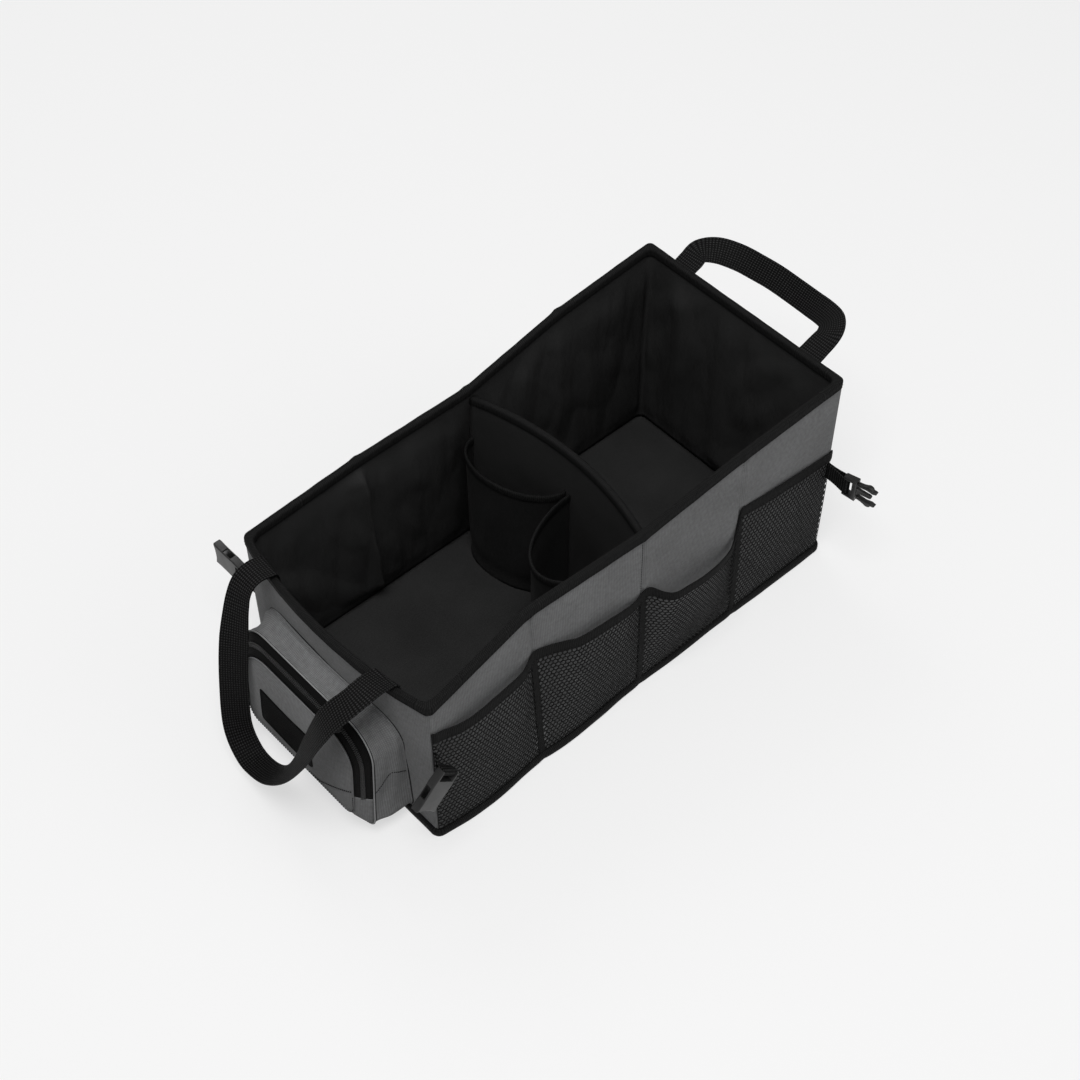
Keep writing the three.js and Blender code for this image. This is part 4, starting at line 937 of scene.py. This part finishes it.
def net_pocket(number):
    left = -NET_ENDS if number == 1 else FOLDS[number - 2]
    right = NET_ENDS if number == 4 else FOLDS[number - 1]
    wide, tall, yarn = 4.9, 6.2, 0.58
    drop = 150.0
    mesh = bmesh.new()
    columns = int((right - left) / wide) + 2
    rows = int(drop / (tall * 0.75)) + 2
    stretch = Matrix.Diagonal((wide / sqrt(3), tall / 2, 1, 1))
    for column in range(columns):
        spot = Matrix.Translation((left + column * wide, 0, 0))
        bmesh.ops.create_circle(mesh, cap_ends=True, segments=6, radius=1, matrix=spot @ stretch)
    first_row = mesh.verts[:] + mesh.edges[:] + mesh.faces[:]
    for row in range(1, rows):
        copy = bmesh.ops.duplicate(mesh, geom=first_row)["geom"]
        shift = (0.5 * wide * (row % 2), row * tall * 0.75, 0)
        verts = [part for part in copy if isinstance(part, bmesh.types.BMVert)]
        bmesh.ops.translate(mesh, verts=verts, vec=shift)
    bmesh.ops.remove_doubles(mesh, verts=mesh.verts, dist=0.05)
    cuts = (
        ((left, 0, 0), (-1, 0, 0)),
        ((right, 0, 0), (1, 0, 0)),
        ((0, 0, 0), (0, -1, 0)),
        ((0, drop, 0), (0, 1, 0)),
    )
    for point, outward in cuts:
        everything = mesh.verts[:] + mesh.edges[:] + mesh.faces[:]
        bmesh.ops.bisect_plane(
            mesh, geom=everything, dist=0.01, plane_co=point, plane_no=outward, clear_outer=True
        )
    holes = mesh.faces[:]
    bmesh.ops.inset_individual(mesh, faces=holes, thickness=yarn, use_even_offset=True)
    bmesh.ops.delete(mesh, geom=holes, context="FACES")
    layer = mesh.loops.layers.uv.new("cloth")
    for face in mesh.faces:
        for loop in face.loops:
            loop[layer].uv = (loop.vert.co.x * MM, loop.vert.co.y * MM)
    for vert in mesh.verts:
        vert.co = net_point(vert.co.x, vert.co.y / drop) * MM
    obj = add_piece(f"net_{number}", mesh, net_yarn, [f"mesh_net_{number}"], thick=0.5, offset=0.0)


def net_tape():
    columns = 220
    section = (
        (-0.7, -0.078), (-0.9, -0.06), (-0.9, -0.015), (-0.5, 0.004), (0.3, 0.01), (1.0, 0.003),
        (1.4, -0.012), (1.4, -0.07), (1.2, -0.08), (0.5, -0.083),
    )

    def place(i, j):
        x = lerp(-NET_ENDS, NET_ENDS, i / columns)
        lift, rise = section[len(section) - 1 - j]
        return net_point(x, 1.0 + rise, lift)

    mesh = laid_cloth(columns, len(section) - 1, place)
    add_piece("net_tape", mesh, edge_tape, ["mesh_top_tape"], thick=0.7)
    run = [net_point(x, 1.0 - 0.066, 1.5) for x in range(-258, 259, 3)]
    sew("net_thread", [(run, -NORTH, "net")])


def net_seam(number):
    fold = FOLDS[number - 1]
    columns, rows, half = 8, 40, 4.0

    def place(i, j):
        across = lerp(-half, half, i / columns)
        crown = 0.9 * (1 - (across / half) ** 2)
        return net_point(fold + across, lerp(0.0, 0.93, j / rows), crown - 0.2)

    mesh = laid_cloth(columns, rows, place)
    node = f"mesh_seam_{number}"
    add_piece(f"net_seam_{number}", mesh, edge_tape, [node], thick=0.7)


# Zipped pocket on the front end

POCKET_HALF = 100.0
POCKET_FOOT = 11.0
POCKET_TOP = 154.0
TOP_RADIUS = 34.0
FOOT_RADIUS = 14.0
ZIP_END = 63.0
RIM_INSET = 4.0
PANEL_INSET = 19.0
BAND_DEPTH = 12.0
# How far the front panel stands out at its top, and how much further at its foot
PANEL_OUT, PANEL_LEAN = 49.0, 8.0
# Points along half the outline: foot, foot corner, lower side, upper side, top corner, top
HALF_COUNTS = (12, 8, 8, 12, 14, 16)


def panel_x(z):
    return -HALF_LENGTH - PANEL_OUT - (POCKET_TOP - z) * PANEL_LEAN / (POCKET_TOP - POCKET_FOOT)


def quarter(y, z, radius, first, count):
    """Points along a quarter circle, without its last."""
    turns = [first + pi / 2 * k / count for k in range(count)]
    return [(y + radius * cos(turn), z + radius * sin(turn)) for turn in turns]


def half_outline(inset):
    """The pocket's outline from the middle of its foot up to the middle of its top."""
    half = POCKET_HALF - inset
    foot, top = POCKET_FOOT + inset, POCKET_TOP - inset
    foot_run, foot_arc, low_side, high_side, top_arc, top_run = HALF_COUNTS
    points = [(lerp(0, half - FOOT_RADIUS, k / foot_run), foot) for k in range(foot_run)]
    points += quarter(half - FOOT_RADIUS, foot + FOOT_RADIUS, FOOT_RADIUS, -pi / 2, foot_arc)
    points += [(half, lerp(foot + FOOT_RADIUS, ZIP_END, k / low_side)) for k in range(low_side)]
    points += [(half, lerp(ZIP_END, top - TOP_RADIUS, k / high_side)) for k in range(high_side)]
    points += quarter(half - TOP_RADIUS, top - TOP_RADIUS, TOP_RADIUS, 0.0, top_arc)
    points += [(lerp(half - TOP_RADIUS, 0, k / top_run), top) for k in range(top_run + 1)]
    return points


def pocket_ring(inset):
    far = half_outline(inset)
    return far + [(-y, z) for y, z in reversed(far[1:-1])]


RING_COUNT = len(pocket_ring(0))
ZIP_FIRST = sum(HALF_COUNTS[:3])
ZIP_LAST = RING_COUNT - ZIP_FIRST
ROOT_RING = pocket_ring(0.0)
RIM_RING = pocket_ring(RIM_INSET)
PANEL_RING = pocket_ring(PANEL_INSET)


def ring_out(index):
    """The direction out of the pocket's outline, in the plane of the front wall."""
    y0, z0 = ROOT_RING[(index - 1) % RING_COUNT]
    y1, z1 = ROOT_RING[(index + 1) % RING_COUNT]
    return Vector((0, z1 - z0, y0 - y1)).normalized()


def band_point(index, share, lift=0.0):
    """A point on the sloping band, share of the way from the gusset's rim to the front panel."""
    index %= RING_COUNT
    y0, z0 = RIM_RING[index]
    y1, z1 = PANEL_RING[index]
    start = Vector((panel_x(z0) + BAND_DEPTH, y0, z0))
    end = Vector((panel_x(z1), y1, z1))
    across = end - start
    out = ring_out(index)
    normal = (-EAST) * -out.dot(across) + out * -across.x
    return start + across * share + normal.normalized() * lift


def gusset_at(index, share, lift=0.0):
    """A point on the gusset, share of the way from the zip's side to the front wall."""
    index %= RING_COUNT
    y0, z0 = RIM_RING[index]
    y1, z1 = ROOT_RING[index]
    rim = Vector((panel_x(z0) + BAND_DEPTH, y0, z0))
    root = Vector((wall_point("front", -y1, z1, -0.4).x, y1, z1))
    out = ring_out(index)
    side = sin(pi * unit(share))
    top = max(0.0, out.z)
    flank = abs(out.y) * ease((z1 - 30) / 40)
    puff = 1.6 * side + side * 2.4 * rumple(y1 / 30, z1 / 30, share * 2.0 + 60)
    puff -= 4.2 * top * bell(share - 0.36, 0.24) * (1 - (y1 / POCKET_HALF) ** 2)
    puff += 1.8 * top * bell(share - 0.78, 0.1) * side
    puff -= 2.6 * flank * bell(share - 0.45 - (z1 - 90) / 260, 0.16)
    shoulder = bell(hypot(abs(y1) - 91, z1 - 139), 17)
    puff -= 4.4 * shoulder * bell(share - 0.4, 0.2)
    puff += 1.8 * shoulder * bell(share - 0.8, 0.12)
    puff += abs(out.y) * side * (2.6 * bell(z1 - 98, 17) - 2.4 * bell(z1 - 50, 24))
    return rim.lerp(root, share) + out * (puff + lift)


def gusset_point(index, share, lift=0.0):
    here = int(index)
    return gusset_at(here, share, lift).lerp(gusset_at(here + 1, share, lift), index - here)


def gusset():
    rows = 20
    mesh = laid_cloth(RING_COUNT, rows, lambda i, j: gusset_at(i, j / rows), closed=True)
    obj = add_piece("pocket_gusset", mesh, grey_canvas, ["zip_pocket_gusset"], thick=1.0)


def piping(name, path, radius, material, section=8):
    """A covered cord sewn into a closed seam."""
    count = len(path)

    def place(i, j):
        here = path[i % count]
        along = (path[(i + 1) % count] - path[(i - 1) % count]).normalized()
        side = along.cross(EAST).normalized()
        out = side.cross(along)
        turn = 2 * pi * (j % section) / section
        return here + (side * cos(turn) + out * sin(turn)) * radius

    mesh = laid_cloth(count, section, place, closed=True)
    bmesh.ops.recalc_face_normals(mesh, faces=mesh.faces)
    add_piece(name, mesh, material)


PANEL_GAP = 0.3
PANEL_HALF = POCKET_HALF - PANEL_INSET - PANEL_GAP
PANEL_FOOT = POCKET_FOOT + PANEL_INSET + PANEL_GAP
PANEL_TOP = POCKET_TOP - PANEL_INSET - PANEL_GAP


def panel_half(z):
    """Half the front panel's width at a height."""
    radius, rise = FOOT_RADIUS, (PANEL_FOOT + FOOT_RADIUS - z) / FOOT_RADIUS
    if z > PANEL_TOP - TOP_RADIUS:
        radius, rise = TOP_RADIUS, (z - PANEL_TOP + TOP_RADIUS) / TOP_RADIUS
    if rise <= 0:
        return PANEL_HALF
    return PANEL_HALF - radius + radius * sqrt(max(0.0, 1 - rise * rise))


def panel_point(y, z, lift=0.0):
    """A point on the crowned front panel."""
    across = min(1.0, abs(y) / max(panel_half(z), 1.0))
    up = (z - PANEL_FOOT) / (PANEL_TOP - PANEL_FOOT) * 2 - 1
    crown = 5.5 * (1 - across ** 3) ** 0.8 * (1 - min(1.0, abs(up)) ** 3) ** 0.8
    crown *= 1 + 0.22 * rumple(y / 34, z / 34, 71.0)
    return Vector((panel_x(z) - crown - lift, y, z))


def front_panel():
    columns, rows = 64, 44

    def place(i, j):
        up = sin(pi / 2 * (2 * j / rows - 1))
        z = lerp(PANEL_FOOT, PANEL_TOP, (up + 1) / 2)
        y = lerp(1.0, -1.0, i / columns) * panel_half(z)
        return panel_point(y, z)

    mesh = laid_cloth(columns, rows, place)
    obj = add_piece("pocket_front_panel", mesh, grey_canvas, ["zip_pocket_front"], thick=1.0)


def band_strip(name, first, last, share_0, share_1, swell, material, slot, nodes):
    columns = last - first
    rows = 6

    def place(i, j):
        share = lerp(share_1, share_0, j / rows)
        lift = swell * sin(pi * j / rows)
        return band_point(first + i, share, lift)

    mesh = laid_cloth(columns, rows, place)
    add_piece(name, mesh, material, nodes, thick=0.8)


def zip_teeth():
    mesh = bmesh.new()
    path = [band_point(index, 0.5, 0.9) for index in range(ZIP_FIRST, ZIP_LAST + 1)]
    pitch = 2.0
    tooth = Matrix.Diagonal((1.7 * MM, 0.55 * MM, 0.85 * MM, 1))
    due = 0.5
    travelled = 0.0
    for k, (here, there) in enumerate(zip(path, path[1:])):
        step = there - here
        along = step.normalized()
        cross = (band_point(ZIP_FIRST + k, 1.0) - band_point(ZIP_FIRST + k, 0.0)).normalized()
        out = along.cross(cross).normalized()
        while travelled + step.length >= due:
            centre = here + along * (due - travelled)
            for side in (-1, 1):
                spot = centre + cross * side * 1.15 + along * side * pitch / 4
                basis = Matrix((cross, along, out)).transposed().to_4x4()
                add_bead(mesh, Matrix.Translation(spot * MM) @ basis @ tooth)
            due += pitch
        travelled += step.length
    add_piece("zip_coil", mesh, zip_nylon, ["zip_chain"])


LABEL_MIDDLE = (14.0, 77.0)
LABEL_HALF = (40.0, 23.0)
LABEL_RADIUS = 4.0


def label():
    columns, rows = 44, 28
    half_wide, half_tall = LABEL_HALF

    def place(i, j):
        up = sin(pi / 2 * (2 * j / rows - 1)) * half_tall
        over = abs(up) - (half_tall - LABEL_RADIUS)
        wide = half_wide
        if over > 0:
            wide -= LABEL_RADIUS - sqrt(max(0.0, LABEL_RADIUS ** 2 - over ** 2))
        share = sin(pi / 2 * lerp(1.0, -1.0, i / columns))
        y, z = LABEL_MIDDLE[0] + share * wide, LABEL_MIDDLE[1] + up
        edge = min(wide - abs(share * wide), half_tall - abs(up))
        hem = 0.35 * bell(edge - 1.4, 1.0)
        return panel_point(y, z, 0.75 + hem + 0.25 * ease(edge / 1.0))

    mesh = laid_cloth(columns, rows, place)
    add_piece("bare_patch", mesh, patch_cloth, ["label_patch"], thick=0.7)
    inset = 2.6
    run = []
    wide, tall, radius = half_wide - inset, half_tall - inset, LABEL_RADIUS - 1
    for corner_y, corner_z, first in ((1, -1, -90), (1, 1, 0), (-1, 1, 90), (-1, -1, 180)):
        for k in range(7):
            turn = radians(first + 15 * k)
            y = LABEL_MIDDLE[0] + corner_y * (wide - radius) + radius * cos(turn)
            z = LABEL_MIDDLE[1] + corner_z * (tall - radius) + radius * sin(turn)
            run.append(panel_point(y, z, 1.15))
    run.append(run[0])
    smooth_run = []
    for here, there in zip(run, run[1:]):
        pieces = max(1, int((there - here).length / 4))
        for k in range(pieces):
            spot = here.lerp(there, k / pieces)
            smooth_run.append(panel_point(spot.y, spot.z, 1.15))
    smooth_run.append(run[0])
    sew("patch_thread", [(smooth_run, -EAST, "patch")])


# Height of the seam across the gusset's side, as (share of the gusset, height)
SIDE_SEAM = ((0, 70), (0.25, 80), (0.5, 92), (0.75, 87), (1, 77))

# Height of the seam across the panel's lower corner, as (place across, height)
FOOT_SEAM = ((-82, 71), (-65, 61), (-47, 50), (-30, 39), (-12, 31.5))


def pocket_seams():
    """Corded seams round the gusset's edges, the rim cord's paler tone a painted highlight, thin dark cords
    beside them as painted shadow lines, and the rows of thread beside them.
    """
    rim = [band_point(index, -0.03, 0.2) for index in range(RING_COUNT)]
    # The rim piping's paler canvas is a painted highlight along the gusset's edge
    piping("pocket_rim_piping", rim, 0.75, canvas_painted_highlight)
    # A thin dark cord along the gusset's rim: a painted shadow line in the groove beside the piping
    crease = [gusset_at(index, 0.045, 0.1) for index in range(RING_COUNT)]
    piping("pocket_rim_painted_shadow", crease, 0.4, black_thread, 6)
    root, shade = [], []
    for index, (y, z) in enumerate(ROOT_RING):
        out = ring_out(index)
        root.append(Vector((wall_point("front", -y, z, -1.5).x, y, z)) + out * 0.3)
        shade.append(Vector((wall_point("front", -y, z, -0.5).x, y, z)) + out * 1.5)
    piping("pocket_root_piping", root, 0.95, grey_canvas)
    # A thin dark cord beside the root piping: a painted shadow in the gap between the piping and the wall
    piping("pocket_root_painted_shadow", shade, 0.55, black_thread, 6)
    edge = [band_point(index, 1.01, 0.2) for index in range(RING_COUNT)]
    piping("pocket_panel_edge", edge, 0.7, grey_canvas)

    rows = []
    for share in (0.13, 0.87):
        run = [band_point(index, share, 0.25) for index in range(ZIP_FIRST, ZIP_LAST + 1)]
        rows.append((run, -EAST, "zip"))
    foot = [band_point(index, 1.04, 0.8) for index in range(ZIP_LAST, RING_COUNT + ZIP_FIRST + 1)]
    rows.append((foot, -EAST, "foot"))
    slant = [panel_point(y, rounded(FOOT_SEAM, y), 0.7) for y in range(-80, -11, 2)]
    rows.append((slant, -EAST, "slant"))
    side_run = POCKET_TOP - TOP_RADIUS - ZIP_END
    for side in (1, -1):
        run = []
        for k in range(33):
            share = lerp(0.02, 0.99, k / 32)
            index = ZIP_FIRST + (rounded(SIDE_SEAM, share) - ZIP_END) / side_run * HALF_COUNTS[3]
            run.append(gusset_point(index if side > 0 else RING_COUNT - index, share, 0.2))
        rows.append((run, NORTH * side, "side"))
        corner = HALF_COUNTS[0] + 4
        corner = corner if side > 0 else RING_COUNT - corner
        run = [band_point(corner, lerp(0.06, 0.95, k / 12), 1.05) for k in range(13)]
        rows.append((run, -EAST, "corner"))
    sew("pocket_thread", rows)


def zipped_pocket():
    gusset()
    front_panel()
    zip_band = ("zip_tape_cloth", ZIP_FIRST, ZIP_LAST, 0.04, 0.96, 0.25)
    band_strip(*zip_band, zip_cloth, "black_tape", ["zip_tape"])
    lower_band = ("pocket_lower_band", ZIP_LAST, RING_COUNT + ZIP_FIRST, 0.03, 0.97, 1.0)
    band_strip(*lower_band, grey_canvas, "grey_cloth", ["zip_pocket_lower_band"])
    zip_teeth()
    label()
    pocket_seams()


# Straps

STRAP_WIDTH = 28.0
WEBBING = 1.6
STRAP_HALF = 87.0
# Places along the front strap's loop, each with the direction across the strap
FRONT_LOOP = (
    ((-285.5, 87, 215.4), (0.1, 1, 0)), ((-295.5, 87, 213.8), (0, 1, 0)),
    ((-303, 86.6, 208), (-0.05, 1, 0)), ((-309.5, 85, 198.5), (-0.16, 1, 0)),
    ((-317, 81.2, 184), (-0.34, 0.94, 0)), ((-328, 76.4, 150), (-0.67, 0.74, 0)),
    ((-337, 74, 100), (-0.74, 0.67, 0)), ((-345, 68.2, 46), (-0.87, 0.49, -0.1)),
    ((-349, 49.4, 23.5), (-0.98, 0.1, -0.15)), ((-351, 25.7, 24.5), (-1, 0, 0)),
    ((-352, -1.4, 43), (-0.99, -0.05, -0.08)), ((-352, -30.4, 85), (-0.86, -0.42, -0.28)),
    ((-349, -54.1, 134), (-0.62, -0.7, -0.35)), ((-341, -70.7, 178), (-0.44, -0.85, -0.3)),
    ((-330, -78, 199), (-0.26, -0.95, -0.15)), ((-315, -85, 212.3), (-0.09, -1, 0)),
    ((-303, -86.5, 216.8), (0, -1, 0)), ((-293, -86, 217.5), (0, -1, 0)), ((-285, -85, 216), (0.1, -1, 0)),
)
FRONT_ENDS = (87.0, -84.0)
# The rear strap, whose places are shares of its reach, half width and rise
REAR_ROOT = Vector((267.3, 0, 252.0))
REAR_REACH, REAR_RISE = 62.0, 12.0
REAR_LOOP = (
    ((0, 1, 0), (0, -1, 0)), ((0.161, 1, 0.333), (0, -1, -0.05)),
    ((0.355, 0.992, 0.817), (-0.4, -0.87, -0.2)),
    ((0.548, 0.837, 1.017), (-0.66, -0.5, -0.5)), ((0.742, 0.621, 0.658), (-0.7, -0.2, -0.65)),
    ((0.871, 0.407, 0.2), (-0.65, 0, -0.75)), ((0.952, 0.166, -0.075), (-0.62, 0, -0.78)),
    ((1, -0.097, -0.367), (-0.62, 0, -0.78)), ((0.984, -0.392, -0.333), (-0.65, 0.08, -0.75)),
    ((0.887, -0.679, 0.175), (-0.7, 0.3, -0.62)), ((0.726, -0.864, 0.742), (-0.62, 0.6, -0.45)),
    ((0.452, -0.992, 0.942), (-0.25, 0.92, -0.25)), ((0.161, -1, 0.333), (0, 1, -0.05)),
    ((0, -1, 0), (0, 1, 0)),
)


def through(points, share):
    """A smooth curve through points, each a Vector of any size."""
    spans = len(points) - 1
    k = min(int(share * spans), spans - 1)
    t = share * spans - k
    here, there = points[k], points[k + 1]
    before = points[k - 1] if k else here * 2 - there
    after = points[k + 2] if k + 2 <= spans else there * 2 - here
    return (
        here * 2
        + (there - before) * t
        + (before * 2 - here * 5 + there * 4 - after) * t * t
        + (here * 3 - before - there * 3 + after) * t * t * t
    ) * 0.5


def strap_frames(knots, steps):
    """Places along a strap, each with the direction across it and the direction off its face."""
    places = [through([Vector(place) for place, _ in knots], k / steps) for k in range(steps + 1)]
    widths = [Vector(across) for _, across in knots]
    frames = []
    for k, here in enumerate(places):
        along = (places[min(k + 1, steps)] - places[max(k - 1, 0)]).normalized()
        across = through(widths, k / steps)
        across = (across - along * across.dot(along)).normalized()
        frames.append((here, across, along.cross(across)))
    return frames


def webbing_strip(frames, width, crown=0.25):
    rows = 10

    def place(i, j):
        here, across, face = frames[i]
        share = j / rows * 2 - 1
        return here + across * share * width / 2 + face * crown * (1 - share * share)

    return laid_cloth(len(frames) - 1, rows, place)


def add_strap(name, mesh, nodes, body="caddy", ride=True, thick=WEBBING, edge=0.5):
    obj = add_piece(name, mesh, strap_webbing, nodes, body, ride, thick, 0.0)
    round_edges(obj, edge)
    return obj


def strap_end(y):
    """The sewn end of the front strap, up the inside of the rim and over it."""
    tangent = (wall_point("front", -y - 5, 200) - wall_point("front", -y + 5, 200)).normalized()
    across = tangent if y > 0 else -tangent
    rises = ((194.0, 7.5), (205.0, 7.5), (210.6, 5.2), (212.7, 0.0))
    return [(wall_point("front", -y, z, depth), across) for z, depth in rises]


def front_strap():
    far, near = FRONT_ENDS
    knots = [*strap_end(far), *FRONT_LOOP, *reversed(strap_end(near))]
    mesh = webbing_strip(strap_frames(knots, 330), STRAP_WIDTH)
    nodes = ["front_handle", "front_handle_near_stub", "front_handle_far_stub"]
    obj = add_strap("front_strap", mesh, nodes, ride=False)
    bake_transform(obj)


def rear_strap():
    knots = []
    for (out, side, up), across in REAR_LOOP:
        knots.append((REAR_ROOT + Vector((out * REAR_REACH, side * STRAP_HALF, up * REAR_RISE)), across))
    mesh = webbing_strip(strap_frames(knots, 200), STRAP_WIDTH)
    add_strap("rear_strap", mesh, ["rear_handle"], "rear_handle")


# Corner tabs and buckles

TAB_START = 135.3
TAB_HEIGHT = 128.0
TAB_WIDTH, TAB_WEBBING = 20.0, 1.4
TAB_LOOP = 3.0
# Each tab's node, place along the box, side, length and twist in degrees
TABS = (
    ("near_front_tab", -262.0, -1, 17.0, -45.0),
    ("far_front_tab", -262.0, 1, 17.0, 0.0),
    ("near_rear_tab", 262.0, -1, 26.0, 0.0),
    ("far_rear_tab", 262.0, 1, 26.0, 0.0),
)


def corner_tab(node, x, side, reach, twist):
    """A loop of webbing from the corner seam round the buckle's bar."""
    leg = [(-1.0, 1.0), (0.25 * reach, 1.05), (0.55 * reach, 1.6), (0.8 * reach, 2.6), (reach, TAB_LOOP)]
    turns = [pi * k / 8 for k in range(1, 8)]
    loop = [(reach + TAB_LOOP * sin(turn), TAB_LOOP * cos(turn)) for turn in turns]
    path = leg + loop + [(out, -off) for out, off in reversed(leg)]
    frames = []
    knots = [Vector((out, off, 0)) for out, off in path]
    steps = 90
    for k in range(steps + 1):
        spot = through(knots, k / steps)
        turn = radians(twist) * ease(spot.x / (0.75 * reach))
        off_way = Vector((cos(turn), 0, -sin(turn)))
        wide_way = Vector((sin(turn), 0, cos(turn)))
        here = Vector((x, side * (TAB_START + spot.x), TAB_HEIGHT)) + off_way * spot.y
        frames.append((here, wide_way, off_way))
    mesh = webbing_strip(frames, TAB_WIDTH, 0.0)
    add_strap(f"{node}_webbing", mesh, [node], thick=TAB_WEBBING, edge=0.4)


def dressed_copy(node, name, body, material, edge):
    """A moulding with the solid's shape and rounded edges."""
    mesh = bmesh.new()
    mesh.from_mesh(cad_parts[node].data)
    bmesh.ops.remove_doubles(mesh, verts=mesh.verts, dist=1e-6)
    bmesh.ops.dissolve_limit(mesh, angle_limit=radians(1.0), verts=mesh.verts, edges=mesh.edges)
    obj = add_piece(name, mesh, material, [node], body)
    round_edges(obj, edge, 3, 30)


def buckles():
    for place in ("near_front", "far_front"):
        node = f"{place}_female_buckle"
        dressed_copy(node, f"{place}_socket_half", f"{place}_buckle", grey_moulding, 0.45)
    for place in ("near_rear", "far_rear"):
        node = f"{place}_male_buckle"
        dressed_copy(node, f"{place}_plug_half", f"{place}_buckle", black_moulding, 0.4)
        for arm in ("lower", "upper"):
            node = f"{place}_{arm}_arm"
            dressed_copy(node, f"{node}_spring", node, black_moulding, 0.35)
    dressed_copy("zip_slider", "zip_slider_body", "zip_slider", painted_zinc, 0.3)
    dressed_copy("zip_puller", "zip_puller_tag", "zip_puller", painted_zinc, 0.3)


def board_finish():
    boards = [f"{side}_board_{k}" for side in LONG_WALLS for k in range(1, 5)]
    boards += ["front_end_board", "rear_end_board", "base_board_front", "base_board_rear"]
    boards.append("divider_board")
    for node in boards:
        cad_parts[node].material_slots[0].material = board_fibre


studio()
front_strap()
rear_strap()
for side, steps in (("near", 150), ("far", 120), ("front", 76), ("rear", 76)):
    outer_cloth(side, steps, 56)
sew_fold_shade_threads()
rim_tape()
foot_binding()
underside()
wall_lining()
floor_lining()
divider_cover()
divider_tape()
for which in BOTTLE_POCKETS:
    bottle_pocket(which)
for number in (1, 2, 3, 4):
    net_pocket(number)
net_tape()
for number in (1, 2, 3):
    net_seam(number)
zipped_pocket()
for tab in TABS:
    corner_tab(*tab)
buckles()
board_finish()
